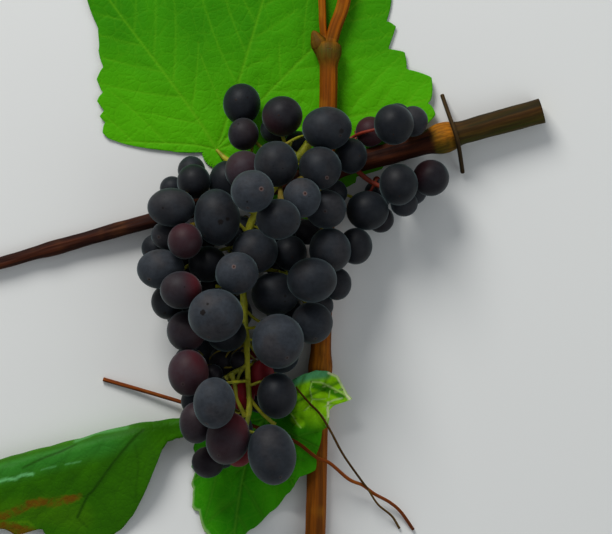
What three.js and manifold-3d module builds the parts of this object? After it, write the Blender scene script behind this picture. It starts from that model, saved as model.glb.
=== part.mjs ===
// A cut length of grapevine with its ripe bunch: a woody cane, a shoot above and below it, the bunch and
// its small side bunch on their stalks, three leaves and two tendrils. It lies on its back.
//
// Millimetres. X runs to the right, Y up the shoot and the bunch, Z up from the surface it lies on.
// Every piece is laid on what was laid before it: it comes down until it touches, and stops GAP short.

import * as THREE from "three";
import { mergeVertices } from "three/addons/utils/BufferGeometryUtils.js";
import Module from "manifold-3d";

const wasm = await Module();
wasm.setup();

const GAP = 0.3;
const SLACK = 0.25;
const STIFFNESS = 60;
const FINE_STEP = 2.5;
const ROOT_PLACES = 60;

// The cane is last year's wood. It rises from left to right and is thicker towards the right. Each joint
// has a place and the share by which the cane is thicker there.
const CANE = {
  left: -124,
  right: 118,
  height: 31.4,
  slope: 0.282,
  radiusLeft: 2.2,
  radiusRight: 5.3,
  joints: [[-80, 0.12], [-25, 0.35], [30, 0.35], [78, 0.35]],
  jointLength: 5,
  steps: 34,
};

// The shoot above the cane forks at its joint. The shoot below it hangs straight down. Both stand a
// little aside of the cane's joint, with room between their feet and the cane.
const SHOOT = { x: 30.6, room: 0.4, lowerAside: -0.4, upperAside: 0.3 };
const UPPER_SHOOT = {
  radius: 3.6,
  path: [[31.2, 60], [31.5, 74], [31.6, 90]],
  swelling: 0.45,
  swollenFrom: 0.82,
  swollenTo: 0.97,
  steps: 12,
};
const UPPER_BRANCHES = [
  { radius: 2.7, path: [[31.6, 88], [34.2, 98], [37.6, 108], [41, 126], [45, 145]], sides: 8, steps: 10 },
  { radius: 1.5, path: [[31, 88], [29.4, 98], [29, 108], [28.4, 124], [27, 139]], sides: 8, steps: 10 },
];
const LOWER_SHOOT = {
  radius: 4.1,
  path: [[29.6, 8], [28.4, -32], [27.4, -60], [26.6, -90], [25.8, -122]],
  joint: { at: 0.47, length: 0.03, swelling: 0.2 },
  steps: 26,
};

// A leaf's outline is the reach of its edge from the foot of the blade, in degrees and millimetres.
// Zero degrees points right along X. The teeth are cut into that edge. The mesh has a row of vertices
// every turnStep degrees, and rings at shares of the reach.
const BLADE = 1.4;
const TEETH = { count: 44, depth: 0.045 };
const TOP_LEAF = {
  foot: [-14, 48.8],
  midrib: 71,
  outline: [
    [-62, 8], [-50, 34], [-34, 50], [-14, 57], [6, 86], [13, 92], [30, 84], [42, 94], [56, 78], [71, 98],
    [90, 80], [104, 68], [120, 78], [128, 83], [140, 61], [152, 54], [164, 49], [174, 45], [182, 18],
    [190, 6],
  ],
  turnStep: 5,
  rings: [0.3, 0.66, 1],
};
const LEFT_LEAF = {
  foot: [-32.8, -64],
  midrib: 195,
  outline: [
    [-60, 5], [-20, 7.5], [20, 8], [60, 5.5], [100, 6], [115, 14], [130, 28], [146, 44], [160, 58], [172, 66],
    [184, 84], [195, 95], [203, 89], [209, 84], [214, 77], [218, 68], [227, 64], [239, 54], [244, 46.5],
    [247, 39], [248.8, 29], [250.5, 9], [262, 5.5],
  ],
  curl: { tightest: 2.8, widest: 5.2, from: -6, to: 16, turn: 3.0, droop: 46 },
  turnStep: 6,
  curlTurns: [-24, -18, -14, -11, -8.5, -6, -4, -2],
  rings: [0.2, 0.45, 0.72, 1],
};
const CENTRE_LEAF = {
  foot: [6, -60],
  midrib: 252,
  outline: [
    [100, 6], [70, 12], [56, 18.4], [47, 25], [43, 28.6], [36, 32], [30, 34], [24, 34], [17, 34.6], [12.4, 36],
    [10.6, 28], [7, 26], [-7, 25.5], [-12, 23.5], [-34, 25], [-46, 29], [-60, 27.5], [-74, 32], [-86, 38],
    [-98, 46], [-108, 62], [-118, 51.5], [-127, 48], [-133, 44], [-143, 37], [-158, 31], [-172, 26], [-196, 17],
    [-222, 10],
  ],
  lift: { from: 9.5, to: 19.5, height: 10.6 },
  turnStep: 6,
  lobeTurns: [9, 10.6, 12.4, 15],
  rings: [0.3, 0.55, 0.78, 1],
};

// How the blades lie: the height of the flat part over the surface and the waves along the edge.
const FLAT = 0.9;
const TOP_WAVES = { count: 5, phase: 1.2, height: 0.55, reach: 60 };
const CENTRE_WAVES = { count: 4, phase: 0.6, height: 0.5, reach: 40 };

// Leaf stalks: the radius, and the path from the foot of the blade to the shoot, with its height.
const LEAF_STALK = 1.3;
const LEAF_STALK_STEPS = 9;
const TOP_LEAF_STALK = [[-14, 48.8, 1.6], [-7.5, 43.8, 3.4], [6, 43.6, 4], [17, 47, 4.4], [26.3, 53, 5.4]];
const LEFT_LEAF_STALK = [
  [-33.6, -64.4, 6], [-28, -62.6, 3.6], [-20, -56, 1.8], [-12, -42, 1.7], [7, -25, 1.9], [23.2, -14, 4],
];
const CENTRE_LEAF_STALK = [[6, -60, 1.6], [9, -45, 1.9], [16, -32, 2.2], [23.4, -25, 4]];

// The main stalk of the bunch comes off the upper shoot and crosses the cane. Side stalks leave it.
const STALK = {
  radiusTop: 1.9,
  radiusFoot: 0.9,
  path: [[29.5, 60], [22, 49], [14, 39], [6, 29], [0.6, 20], [-2, 10], [-3, -2], [-2.6, -14], [-1.6, -28],
    [-1, -42], [-0.4, -56], [-3, -68]],
};
const SIDE_STALKS = [
  [[14, 39], [2, 41], [-12, 38], [-24, 33]],
  [[6, 29], [18, 24], [28, 18], [34, 8]],
  [[-2, 10], [-12, 8], [-22, 4], [-30, -2]],
  [[-3, -2], [8, 0], [18, -3], [26, -6]],
  [[-2.6, -14], [-12, -14], [-20, -16], [-26, -19]],
  [[-1.6, -28], [-10, -32], [-16, -38], [-20, -45]],
  [[-0.4, -56], [-6, -58], [-12, -62], [-15, -68]],
];
const SIDE_STALK = 0.9;
const WING_STALK = {
  radiusTop: 1.3,
  radiusFoot: 0.8,
  path: [[34.6, 62], [38.5, 52], [41, 43], [48, 36], [58, 32], [66, 33]],
  side: [[38.5, 52], [44, 55], [52, 57], [60, 59]],
};
const BERRY_STALK = 0.7;
const STALK_STEP = 4;

// Hidden berries behind the bunch, in rows: the height of the row, its left and right end.
const HIDDEN_ROWS = [
  [14, -21, 13], [-2, -31, 16], [-18, -27, 14], [-34, -20, 12], [-50, -17, 4], [-65, -14, 2],
];
const HIDDEN = { width: 15, spacing: 16.4, wobble: 1.1 };
const HIDDEN_WING = [[52, 31, 12], [66, 32, 11], [59.5, 62, 11]];

// Berries from back to front: the name, the middle, the width, the length and the lean of the length
// to the left of Y in degrees. Those with no number are small or mostly hidden, and stay on the stalk.
const BUNCH = [
  [0, 19.2, 50.8, 11, 11, 0], [0, 9.6, 56.8, 11.5, 11, 0], [0, 33.6, 31.2, 11, 11, 0],
  [0, 28, -14.4, 11, 11, 0], [0, -25.2, -36, 10.6, 10.6, 0], [0, -22.4, -52.8, 11.2, 11.2, 0],
  [0, -11.2, -76, 9, 9, 0], [0, 0.4, -34, 5, 5, 0], [0, -24, 40.4, 11.2, 11.6, 0],
  [0, -32, 33.2, 9.8, 9.8, 0],
  [0, 34.8, -5.6, 12, 13.2, 0], [0, -4.8, -72.8, 12, 12.8, 0], [0, 4.4, -43.6, 11, 15.2, 0],
  [1, 40.4, 46, 13.2, 14.4, 0], [2, 42.4, 9.6, 13.6, 14.8, 0], [3, 16, 6.8, 13.6, 14.4, 0],
  [30, 2, 7.6, 18.4, 17.6, 0],
  [4, -37.2, 8.8, 14, 12, 0], [5, -33.2, -12.8, 13.6, 14.4, 0], [6, -9.6, -25.6, 16, 14.4, 0],
  [7, -17.2, -77.6, 13.2, 12.8, 0], [8, -3.6, 67.2, 15.2, 16.8, 0], [9, 12.8, 62, 16.4, 16.4, 0],
  [10, -2.8, 54.8, 12.4, 13.2, 0], [11, 24.8, -21.2, 16.8, 16.8, 0], [12, 32, 8, 16.8, 18, 15],
  [13, -9.6, 35.6, 14.4, 16.8, 0], [14, -22.8, 35.6, 13.6, 14, 0], [15, -32.8, 14, 14.4, 12, 0],
  [16, -36, 0.4, 19.2, 16, 0], [17, -17.2, 2.4, 15.6, 14.8, 0], [18, -25.6, -24.4, 16, 16.4, 0],
  [19, 30.8, 56.8, 20, 17.6, 0], [20, 30.4, 24.4, 16.4, 15.6, 0], [21, 28, 40.8, 17.2, 17.2, 0],
  [22, 20.8, 28.8, 15.2, 16, 0], [23, -2.4, 40, 15.6, 16, 0], [24, 10.4, 42.4, 17.6, 18.4, 0],
  [25, 11.4, 20.2, 17.8, 16.2, 0], [26, -31.6, 25.2, 19.2, 15.6, 0], [27, -13.2, 21.2, 18.4, 22.8, 8],
  [28, 1.2, 31.2, 17.2, 16.8, 0], [29, -26, 11.6, 14, 14.4, 0],
  [31, 10, -9.6, 19.2, 17.6, 0], [32, -5.2, -1.2, 17.2, 16.8, 0], [33, 24.8, -4, 20, 18, 0],
  [34, 11.2, -28.4, 20.8, 22, 0], [35, -27.6, -8, 16.8, 15.2, 0], [36, -13.6, -18, 22, 21.2, 0],
  [37, -24.8, -41.2, 16.4, 18.8, 0], [38, -21.6, -61.2, 13.6, 16.8, 0], [39, -8.8, -67.2, 17.6, 21.2, -12],
  [40, -14, -52.8, 16.8, 20.4, 0], [41, 8.8, -73.6, 19.2, 24.4, 10], [42, 10.8, -50.4, 16, 18.4, 0],
];
const WING = [
  [0, 65.6, 60, 12, 12.4, 0], [0, 48.4, 56, 12, 12.4, 0], [0, 62, 26.8, 11.2, 10.4, 0],
  [1, 72.8, 37.2, 14.8, 14.8, 0], [2, 47.2, 24, 17.2, 16, 0], [3, 57.6, 58.4, 16, 16.4, 0],
  [4, 59.6, 34.4, 15.6, 16.8, 0],
];

// The long tendril runs under the foot of the bunch and over the lower shoot. Two thin forks leave it
// at one place, one back up to the bunch and one on beside it.
const TENDRIL = {
  radius: 0.8,
  tip: 0.75,
  path: [[-60, -44.4], [-46, -48.4], [-27, -54], [-8, -60], [6, -65], [18, -69.4], [26.7, -75.8],
    [31.9, -78.1], [39.8, -84.8], [45.3, -87.2], [50.1, -90.8], [56.4, -94.3], [61, -98.4], [66, -105.6]],
  steps: 40,
};
const FORKS = {
  radius: 0.5,
  paths: [
    [[47.5, -88.8], [44.5, -84.8], [37.4, -74.6], [31.9, -64.3], [27.9, -58], [23.6, -53.6], [19.2, -48.5]],
    [[47.5, -88.8], [51.6, -95.1], [57.2, -99.9], [60.4, -105]],
  ],
  steps: 10,
};
const DRY_TENDRIL = {
  radius: 0.85,
  path: [[77.7, 71], [80.6, 61.6], [83.2, 53.6], [84.6, 47.4], [86, 39.6]],
  steps: 14,
};

const SIDES = { cane: 12, shoot: 10, stalk: 6, thin: 5 };
const BERRY_FACES = [12, 6];
const HIDDEN_BERRY_FACES = [8, 4];

const COLOURS = {
  cane: { color: 0x3a1a14, roughness: 0.8 },
  shoot: { color: 0x7a3512, roughness: 0.6 },
  stalk: { color: 0x8c9a3a, roughness: 0.6 },
  berry: { color: 0x262a36, roughness: 0.55 },
  leaf: { color: 0x4f9410, roughness: 0.5 },
  darkLeaf: { color: 0x2c5a18, roughness: 0.45 },
  tendril: { color: 0x6a3018, roughness: 0.7 },
};

// A number between 0 and 1 that is the same every time for the same seed.
function chance(seed) {
  const wave = Math.sin(seed * 127.1 + 311.7) * 43758.5453;
  return wave - Math.floor(wave);
}

const smoothStep = (from, to, value) => THREE.MathUtils.smoothstep(value, from, to);

// What has been laid down: balls, and berries as their meshes are, that later pieces come to rest on.
const laid = [];
const UPWARD = upwardDirections(72, 18);

// Directions over the upper half of a ball, closer together near the level.
function upwardDirections(turns, tilts, crowding = 2.2) {
  const directions = [];
  for (let i = 0; i < turns; i++) {
    for (let j = 1; j < tilts; j++) {
      const turn = (2 * Math.PI * i) / turns;
      const tilt = (Math.PI / 2) * (j / tilts) ** crowding;
      directions.push([Math.cos(turn) * Math.cos(tilt), Math.sin(turn) * Math.cos(tilt), Math.sin(tilt)]);
    }
  }
  directions.push([0, 0, 1]);
  return directions;
}

const ball = (x, y, z, radius) => ({ x, y, z, a: radius, b: radius, c: radius });

// How far a berry's mesh reaches from its middle in each of the upward directions, and so downward too.
function reachesOf(egg) {
  const places = berryGeometry({ ...egg, x: 0, y: 0, z: 0 }).attributes.position;
  const points = [...Array(places.count).keys()].map((i) => [places.getX(i), places.getY(i), places.getZ(i)]);
  return UPWARD.map(([nx, ny, nz]) => Math.max(...points.map(([x, y, z]) => x * nx + y * ny + z * nz)));
}

// The least height at which the middle of a shape clears the ground and all that is laid.
function restingHeight(shape, ground = 0) {
  let height = ground + shape.c;
  for (const other of laid) {
    const dx = shape.x - other.x;
    const dy = shape.y - other.y;
    const most = Math.max(shape.a, shape.b) + Math.max(other.a, other.b) + GAP;
    if (dx * dx + dy * dy >= most * most) continue;
    let rise = Math.sqrt(most * most - dx * dx - dy * dy);
    if (shape.reaches || other.reaches) {
      UPWARD.forEach(([nx, ny, nz], k) => {
        const both = (shape.reaches?.[k] ?? shape.a) + (other.reaches?.[k] ?? other.a) + GAP;
        rise = Math.min(rise, (both - dx * nx - dy * ny) / nz);
      });
    }
    height = Math.max(height, other.z + rise);
  }
  return height;
}

const curveThrough = (points) => new THREE.CatmullRomCurve3(points, false, "centripetal");

// A path through places on the ground plan. It is raised at every step to where a limb of that radius
// rests, and held nearly straight between the things that carry it.
function laidPath(places, radiusAt, lift = SLACK, step = 5) {
  const plan = curveThrough(places.map(([x, y]) => new THREE.Vector3(x, y, 0)));
  const count = Math.max(3, Math.ceil(plan.getLength() / step));
  const points = plan.getSpacedPoints(count);
  const least = points.map((p, i) => restingHeight(ball(p.x, p.y, 0, radiusAt(i / count))) + lift);
  const heights = [...least];
  for (let pass = 0; pass < STIFFNESS; pass++) {
    for (let i = 1; i < count; i++) {
      heights[i] = Math.max(least[i], (heights[i - 1] + heights[i + 1]) / 2);
    }
  }
  points.forEach((p, i) => p.setZ(heights[i]));
  return curveThrough(points);
}

// A laid path whose first place is moved onto the limb that it grows from.
function rootedPath(places, radiusAt, parent) {
  const path = laidPath(places, radiusAt, SLACK, FINE_STEP);
  path.points[0].copy(nearestOn([parent], path.points[0]));
  path.updateArcLengths();
  return path;
}

function nearestOn(paths, target) {
  const places = paths.flatMap((path) => path.getSpacedPoints(ROOT_PLACES));
  return places.reduce((a, b) => (b.distanceTo(target) < a.distanceTo(target) ? b : a)).clone();
}

function layLimb(path, radiusAt, step = 1.2) {
  const count = Math.ceil(path.getLength() / step);
  for (let i = 0; i <= count; i++) {
    const p = path.getPointAt(i / count);
    laid.push(ball(p.x, p.y, p.z, radiusAt(i / count)));
  }
}

// Booleans work on closed solids with shared vertices.
function solidOf(geometry) {
  const bare = geometry.clone();
  bare.deleteAttribute("normal");
  bare.deleteAttribute("uv");
  const merged = mergeVertices(bare, 1e-4);
  const vertProperties = merged.attributes.position.array;
  const triVerts = new Uint32Array(merged.index.array);
  return new wasm.Manifold(new wasm.Mesh({ numProp: 3, vertProperties, triVerts }));
}

function geometryOf(solid) {
  const mesh = solid.getMesh();
  const geometry = new THREE.BufferGeometry();
  geometry.setAttribute("position", new THREE.BufferAttribute(mesh.vertProperties, 3));
  geometry.setIndex(new THREE.BufferAttribute(mesh.triVerts, 1));
  return geometry;
}

const joined = (geometries) => geometryOf(geometries.map(solidOf).reduce((whole, piece) => whole.add(piece)));

function closedMesh(points, faces) {
  const geometry = new THREE.BufferGeometry();
  const numbers = points.flatMap((p) => [p.x, p.y, p.z]);
  geometry.setAttribute("position", new THREE.Float32BufferAttribute(numbers, 3));
  geometry.setIndex(faces);
  return geometry;
}

// A round limb along a path, with its radius at each share of the length, and flat cut ends.
function limb(path, radiusAt, sides, steps) {
  const frames = path.computeFrenetFrames(steps, false);
  const points = [];
  const faces = [];
  for (let i = 0; i <= steps; i++) {
    const centre = path.getPointAt(i / steps);
    for (let j = 0; j < sides; j++) {
      const turn = (2 * Math.PI * j) / sides;
      const out = frames.normals[i].clone().multiplyScalar(Math.cos(turn));
      out.addScaledVector(frames.binormals[i], Math.sin(turn));
      points.push(centre.clone().addScaledVector(out, radiusAt(i / steps)));
    }
  }
  const at = (i, j) => i * sides + (j % sides);
  for (let i = 0; i < steps; i++) {
    for (let j = 0; j < sides; j++) {
      faces.push(at(i, j), at(i, j + 1), at(i + 1, j + 1));
      faces.push(at(i, j), at(i + 1, j + 1), at(i + 1, j));
    }
  }
  const start = points.push(path.getPointAt(0)) - 1;
  const end = points.push(path.getPointAt(1)) - 1;
  for (let j = 0; j < sides; j++) {
    faces.push(start, at(0, j + 1), at(0, j));
    faces.push(end, at(steps, j), at(steps, j + 1));
  }
  return closedMesh(points, faces);
}

// The reach of a leaf's edge at an angle: eased between the outline's places, with teeth cut in.
function edgeReach(leaf, degrees) {
  const places = [...leaf.outline].sort((p, q) => p[0] - q[0]);
  const first = places[0];
  const turn = THREE.MathUtils.euclideanModulo(degrees - first[0], 360) + first[0];
  places.push([first[0] + 360, first[1]]);
  const after = places.findIndex((place) => place[0] >= turn);
  const [a, b] = [places[Math.max(after - 1, 0)], places[Math.max(after, 1)]];
  const share = (turn - a[0]) / (b[0] - a[0]);
  const eased = 0.5 * share + 0.5 * smoothStep(0, 1, share);
  const plain = a[1] + (b[1] - a[1]) * eased;
  const tooth = Math.abs(THREE.MathUtils.euclideanModulo((turn * TEETH.count) / 360, 1) - 0.5) * 2;
  return plain * (1 - TEETH.depth * tooth);
}

function edgeWave({ count, phase, height, reach: distance }, u, v) {
  return height * (1 + Math.sin(count * Math.atan2(v, u) + phase)) * (Math.hypot(u, v) / distance) ** 2;
}

// The flat leaf plane, u along the midrib and v to its left, becomes the lie of the blade.
function topLeafLie(u, v) {
  return new THREE.Vector3(u, v, FLAT + edgeWave(TOP_WAVES, u, v));
}

function centreLeafLie(u, v) {
  const { foot, midrib, lift } = CENTRE_LEAF;
  const along = THREE.MathUtils.degToRad(midrib);
  const x = foot[0] + u * Math.cos(along) - v * Math.sin(along);
  const over = smoothStep(lift.from, lift.to, x);
  return new THREE.Vector3(u, v, FLAT + edgeWave(CENTRE_WAVES, u, v) * (1 - over) + lift.height * over);
}

// The left leaf curls over along its midrib, so that its upper half lies under the lower half.
function leftLeafLie(u, v) {
  const { curl } = LEFT_LEAF;
  const radius = curl.tightest + (curl.widest - curl.tightest) * smoothStep(curl.from, curl.to, u);
  const ridge = FLAT + 2 * radius;
  if (v >= 0) return new THREE.Vector3(u, v, ridge - (ridge - FLAT) * smoothStep(0, curl.droop, v));
  const turn = Math.min(-v / radius, curl.turn);
  const beyond = -v - turn * radius;
  const across = -radius * Math.sin(turn) - beyond * Math.cos(turn);
  const height = ridge - radius * (1 - Math.cos(turn)) - beyond * Math.sin(turn);
  return new THREE.Vector3(u, across, Math.max(FLAT, height));
}

// A place on a leaf, at an angle and a distance from the foot, offset to the face's side.
function leafPoint(leaf, lie, degrees, distance, offset) {
  const along = THREE.MathUtils.degToRad(leaf.midrib);
  const turn = THREE.MathUtils.degToRad(degrees) - along;
  const u = distance * Math.cos(turn);
  const v = distance * Math.sin(turn);
  const nudge = 0.2;
  const point = lie(u, v);
  const du = lie(u + nudge, v).sub(lie(u - nudge, v));
  const dv = lie(u, v + nudge).sub(lie(u, v - nudge));
  point.addScaledVector(du.cross(dv).normalize(), offset);
  return new THREE.Vector3(
    leaf.foot[0] + point.x * Math.cos(along) - point.y * Math.sin(along),
    leaf.foot[1] + point.x * Math.sin(along) + point.y * Math.cos(along),
    point.z,
  );
}

// A blade: the upper face and the under face, ring by ring from the foot, closed along the edge.
function blade(leaf, lie, turns) {
  const { rings } = leaf;
  const points = [];
  const faces = [];
  const sides = [BLADE / 2, -BLADE / 2];
  for (const side of sides) {
    points.push(leafPoint(leaf, lie, 0, 0, side));
    for (const ring of rings) {
      for (const turn of turns) {
        points.push(leafPoint(leaf, lie, turn, ring * edgeReach(leaf, turn), side));
      }
    }
  }
  const count = turns.length;
  const under = 1 + rings.length * count;
  const at = (face, ring, j) => face * under + 1 + ring * count + (j % count);
  const last = rings.length - 1;
  for (let j = 0; j < count; j++) {
    faces.push(0, at(0, 0, j), at(0, 0, j + 1));
    faces.push(under, at(1, 0, j + 1), at(1, 0, j));
    for (let i = 0; i < last; i++) {
      faces.push(at(0, i, j), at(0, i + 1, j), at(0, i + 1, j + 1));
      faces.push(at(0, i, j), at(0, i + 1, j + 1), at(0, i, j + 1));
      faces.push(at(1, i, j), at(1, i + 1, j + 1), at(1, i + 1, j));
      faces.push(at(1, i, j), at(1, i, j + 1), at(1, i + 1, j + 1));
    }
    faces.push(at(0, last, j), at(1, last, j), at(1, last, j + 1));
    faces.push(at(0, last, j), at(1, last, j + 1), at(0, last, j + 1));
  }
  return closedMesh(points, faces);
}

function layBlade(leaf, lie) {
  const degreeStep = 2;
  const distanceStep = 3;
  for (let turn = 0; turn < 360; turn += degreeStep) {
    const edge = edgeReach(leaf, turn);
    for (let distance = 1; distance < edge; distance += distanceStep) {
      const p = leafPoint(leaf, lie, turn, distance, 0);
      laid.push(ball(p.x, p.y, p.z, BLADE / 2 + GAP));
    }
    const rim = leafPoint(leaf, lie, turn, edge, 0);
    laid.push(ball(rim.x, rim.y, rim.z, BLADE / 2 + GAP));
  }
}

// Every angle that a leaf's mesh has a row of vertices at, with more where its edge turns sharply.
function leafTurns(leaf, more = []) {
  const turns = [];
  for (let turn = 0; turn < 360; turn += leaf.turnStep) turns.push(turn);
  return [...new Set([...turns, ...more])].sort((a, b) => a - b);
}

// A berry rests with its wide side down and is as deep as it is narrow.
function berryAt(x, y, width, length, leanDegrees, faces) {
  const egg = { x, y, a: width / 2, b: length / 2, c: Math.min(width, length) / 2, faces };
  egg.lean = THREE.MathUtils.degToRad(leanDegrees);
  egg.reaches = reachesOf(egg);
  egg.z = restingHeight(egg);
  laid.push(egg);
  return egg;
}

function berryGeometry(egg) {
  const shape = new THREE.SphereGeometry(1, ...egg.faces);
  shape.scale(egg.a, egg.b, egg.c);
  shape.rotateZ(egg.lean);
  shape.translate(egg.x, egg.y, egg.z);
  return shape;
}

// A straight stalk from the nearest place on a stalk's path, sunk well in, into the middle of a berry.
function berryStalk(egg, paths) {
  const middle = new THREE.Vector3(egg.x, egg.y, egg.z);
  const root = nearestOn(paths, middle);
  root.addScaledVector(middle.clone().sub(root).normalize(), -BERRY_STALK);
  return new THREE.LineCurve3(root, middle);
}

const vine = new THREE.Group();

function addPiece(name, geometry, colour) {
  const bare = geometry.index ? geometry.toNonIndexed() : geometry;
  bare.computeVertexNormals();
  const mesh = new THREE.Mesh(bare, new THREE.MeshStandardMaterial({ ...COLOURS[colour], metalness: 0 }));
  mesh.name = name;
  vine.add(mesh);
}

const level = (radius) => () => radius;
const taper = (from, to) => (share) => from + (to - from) * share;

const leafStalkPath = (places) => curveThrough(places.map((place) => new THREE.Vector3(...place)));

// The top leaf lies under everything.
const topStalkPath = leafStalkPath(TOP_LEAF_STALK);
addPiece(
  "top_leaf",
  joined([
    blade(TOP_LEAF, topLeafLie, leafTurns(TOP_LEAF)),
    limb(topStalkPath, level(LEAF_STALK), SIDES.stalk, LEAF_STALK_STEPS),
  ]),
  "leaf",
);
layBlade(TOP_LEAF, topLeafLie);
layLimb(topStalkPath, level(LEAF_STALK));

// The cane, thicker at each joint.
const caneShare = (share) => CANE.left + (CANE.right - CANE.left) * share;
function caneRadius(share) {
  const x = caneShare(share);
  const plain = CANE.radiusLeft + (CANE.radiusRight - CANE.radiusLeft) * share;
  const swell = Math.max(...CANE.joints.map(
    ([joint, thicker]) => thicker * Math.exp(-(((x - joint) / CANE.jointLength) ** 2))));
  return plain * (1 + swell);
}
const onCane = (share) => [caneShare(share), CANE.height + CANE.slope * caneShare(share)];
const canePath = laidPath([0, 0.5, 1].map(onCane), caneRadius);
addPiece("cane", limb(canePath, caneRadius, SIDES.cane, CANE.steps), "cane");

// The lower shoot hangs from the cane's joint, and the upper shoot stands on it.
const jointRadius = caneRadius((SHOOT.x - CANE.left) / (CANE.right - CANE.left));
const jointHeight = CANE.height + CANE.slope * SHOOT.x;
const seat = jointRadius + GAP + SHOOT.room;
const lowerRadius = (share) => {
  const { at, length, swelling } = LOWER_SHOOT.joint;
  return LOWER_SHOOT.radius * (1 + swelling * Math.exp(-(((share - at) / length) ** 2)));
};
const lowerFoot = [SHOOT.x + SHOOT.lowerAside, jointHeight - seat];
const lowerPath = laidPath([lowerFoot, ...LOWER_SHOOT.path], lowerRadius);
addPiece("lower_shoot", limb(lowerPath, lowerRadius, SIDES.shoot, LOWER_SHOOT.steps), "shoot");

const upperRadius = (share) => {
  const swell = smoothStep(UPPER_SHOOT.swollenFrom, UPPER_SHOOT.swollenTo, share);
  return UPPER_SHOOT.radius * (1 + UPPER_SHOOT.swelling * swell);
};
const upperFoot = [SHOOT.x + SHOOT.upperAside, jointHeight + seat];
const upperPath = laidPath([upperFoot, ...UPPER_SHOOT.path], upperRadius);
const branchPaths = UPPER_BRANCHES.map(({ path, radius }) => rootedPath(path, level(radius), upperPath));
addPiece(
  "upper_shoot",
  joined([
    limb(upperPath, upperRadius, SIDES.shoot, UPPER_SHOOT.steps),
    ...UPPER_BRANCHES.map(({ radius, sides, steps }, i) => limb(branchPaths[i], level(radius), sides, steps)),
  ]),
  "shoot",
);
layLimb(canePath, caneRadius);
layLimb(lowerPath, lowerRadius);
layLimb(upperPath, upperRadius);
branchPaths.forEach((path, i) => layLimb(path, level(UPPER_BRANCHES[i].radius)));

// The two lower leaves lie beside the lower shoot, and a lobe of the middle one rises over it.
const leftStalkPath = leafStalkPath(LEFT_LEAF_STALK);
const centreStalkPath = leafStalkPath(CENTRE_LEAF_STALK);
const curlTurns = LEFT_LEAF.curlTurns.map((turn) => LEFT_LEAF.midrib + turn);
addPiece(
  "left_leaf",
  joined([
    blade(LEFT_LEAF, leftLeafLie, leafTurns(LEFT_LEAF, curlTurns)),
    limb(leftStalkPath, level(LEAF_STALK), SIDES.stalk, LEAF_STALK_STEPS),
  ]),
  "darkLeaf",
);
layBlade(LEFT_LEAF, leftLeafLie);
layLimb(leftStalkPath, level(LEAF_STALK));
addPiece(
  "centre_leaf",
  joined([
    blade(CENTRE_LEAF, centreLeafLie, leafTurns(CENTRE_LEAF, CENTRE_LEAF.lobeTurns)),
    limb(centreStalkPath, level(LEAF_STALK), SIDES.stalk, LEAF_STALK_STEPS),
  ]),
  "darkLeaf",
);
layBlade(CENTRE_LEAF, centreLeafLie);
layLimb(centreStalkPath, level(LEAF_STALK));

// The tendrils cross what lies under them.
const tendrilPath = laidPath(TENDRIL.path, level(TENDRIL.radius), SLACK, FINE_STEP);
layLimb(tendrilPath, level(TENDRIL.radius));
const forkPaths = FORKS.paths.map((path) => rootedPath(path, level(FORKS.radius), tendrilPath));
addPiece(
  "long_tendril",
  joined([
    limb(tendrilPath, taper(TENDRIL.radius, TENDRIL.radius * TENDRIL.tip), SIDES.thin, TENDRIL.steps),
    ...forkPaths.map((path) => limb(path, level(FORKS.radius), SIDES.thin, FORKS.steps)),
  ]),
  "tendril",
);
forkPaths.forEach((path) => layLimb(path, level(FORKS.radius)));
const dryPath = laidPath(DRY_TENDRIL.path, level(DRY_TENDRIL.radius), SLACK, FINE_STEP);
addPiece("dry_tendril", limb(dryPath, level(DRY_TENDRIL.radius), SIDES.thin, DRY_TENDRIL.steps), "tendril");
layLimb(dryPath, level(DRY_TENDRIL.radius));

// Hidden and small berries come first, each on a stalk of its own, fused to the bunch's stalk.
function hiddenBerries() {
  const berries = [];
  HIDDEN_ROWS.forEach(([y, left, right], row) => {
    const count = Math.floor((right - left) / HIDDEN.spacing) + 1;
    for (let i = 0; i < count; i++) {
      const seed = row * 10 + i;
      const x = left + (right - left) * (count > 1 ? i / (count - 1) : 0.5);
      const aside = HIDDEN.wobble * (chance(seed) - 0.5);
      const up = HIDDEN.wobble * (chance(seed + 0.5) - 0.5);
      berries.push(berryAt(x + aside, y + up, HIDDEN.width, HIDDEN.width, 0, HIDDEN_BERRY_FACES));
    }
  });
  return berries;
}

const isSmall = ([number]) => number === 0;
const placed = ([number, x, y, width, length, lean]) =>
  berryAt(x, y, width, length, lean, number ? BERRY_FACES : HIDDEN_BERRY_FACES);

function stalkWithBerries(paths, radii, berries) {
  const stalks = paths.map((path, i) =>
    limb(path, radii[i], i ? SIDES.thin : SIDES.stalk, Math.ceil(path.getLength() / STALK_STEP)));
  const small = berries.flatMap((egg) => {
    const line = berryStalk(egg, paths);
    layLimb(line, level(BERRY_STALK));
    return [berryGeometry(egg), limb(line, level(BERRY_STALK), 4, 1)];
  });
  paths.forEach((path, i) => layLimb(path, radii[i]));
  return joined([...stalks, ...small]);
}

const behind = [...hiddenBerries(), ...BUNCH.filter(isSmall).map(placed)];
const stalkRadius = taper(STALK.radiusTop, STALK.radiusFoot);
const stalkPath = laidPath(STALK.path, level(STALK.radiusTop), SLACK, FINE_STEP);
const sidePaths = SIDE_STALKS.map((places) => rootedPath(places, level(SIDE_STALK), stalkPath));
const stalkRadii = [stalkRadius, ...sidePaths.map(() => level(SIDE_STALK))];
addPiece("bunch_stalk", stalkWithBerries([stalkPath, ...sidePaths], stalkRadii, behind), "stalk");

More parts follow.
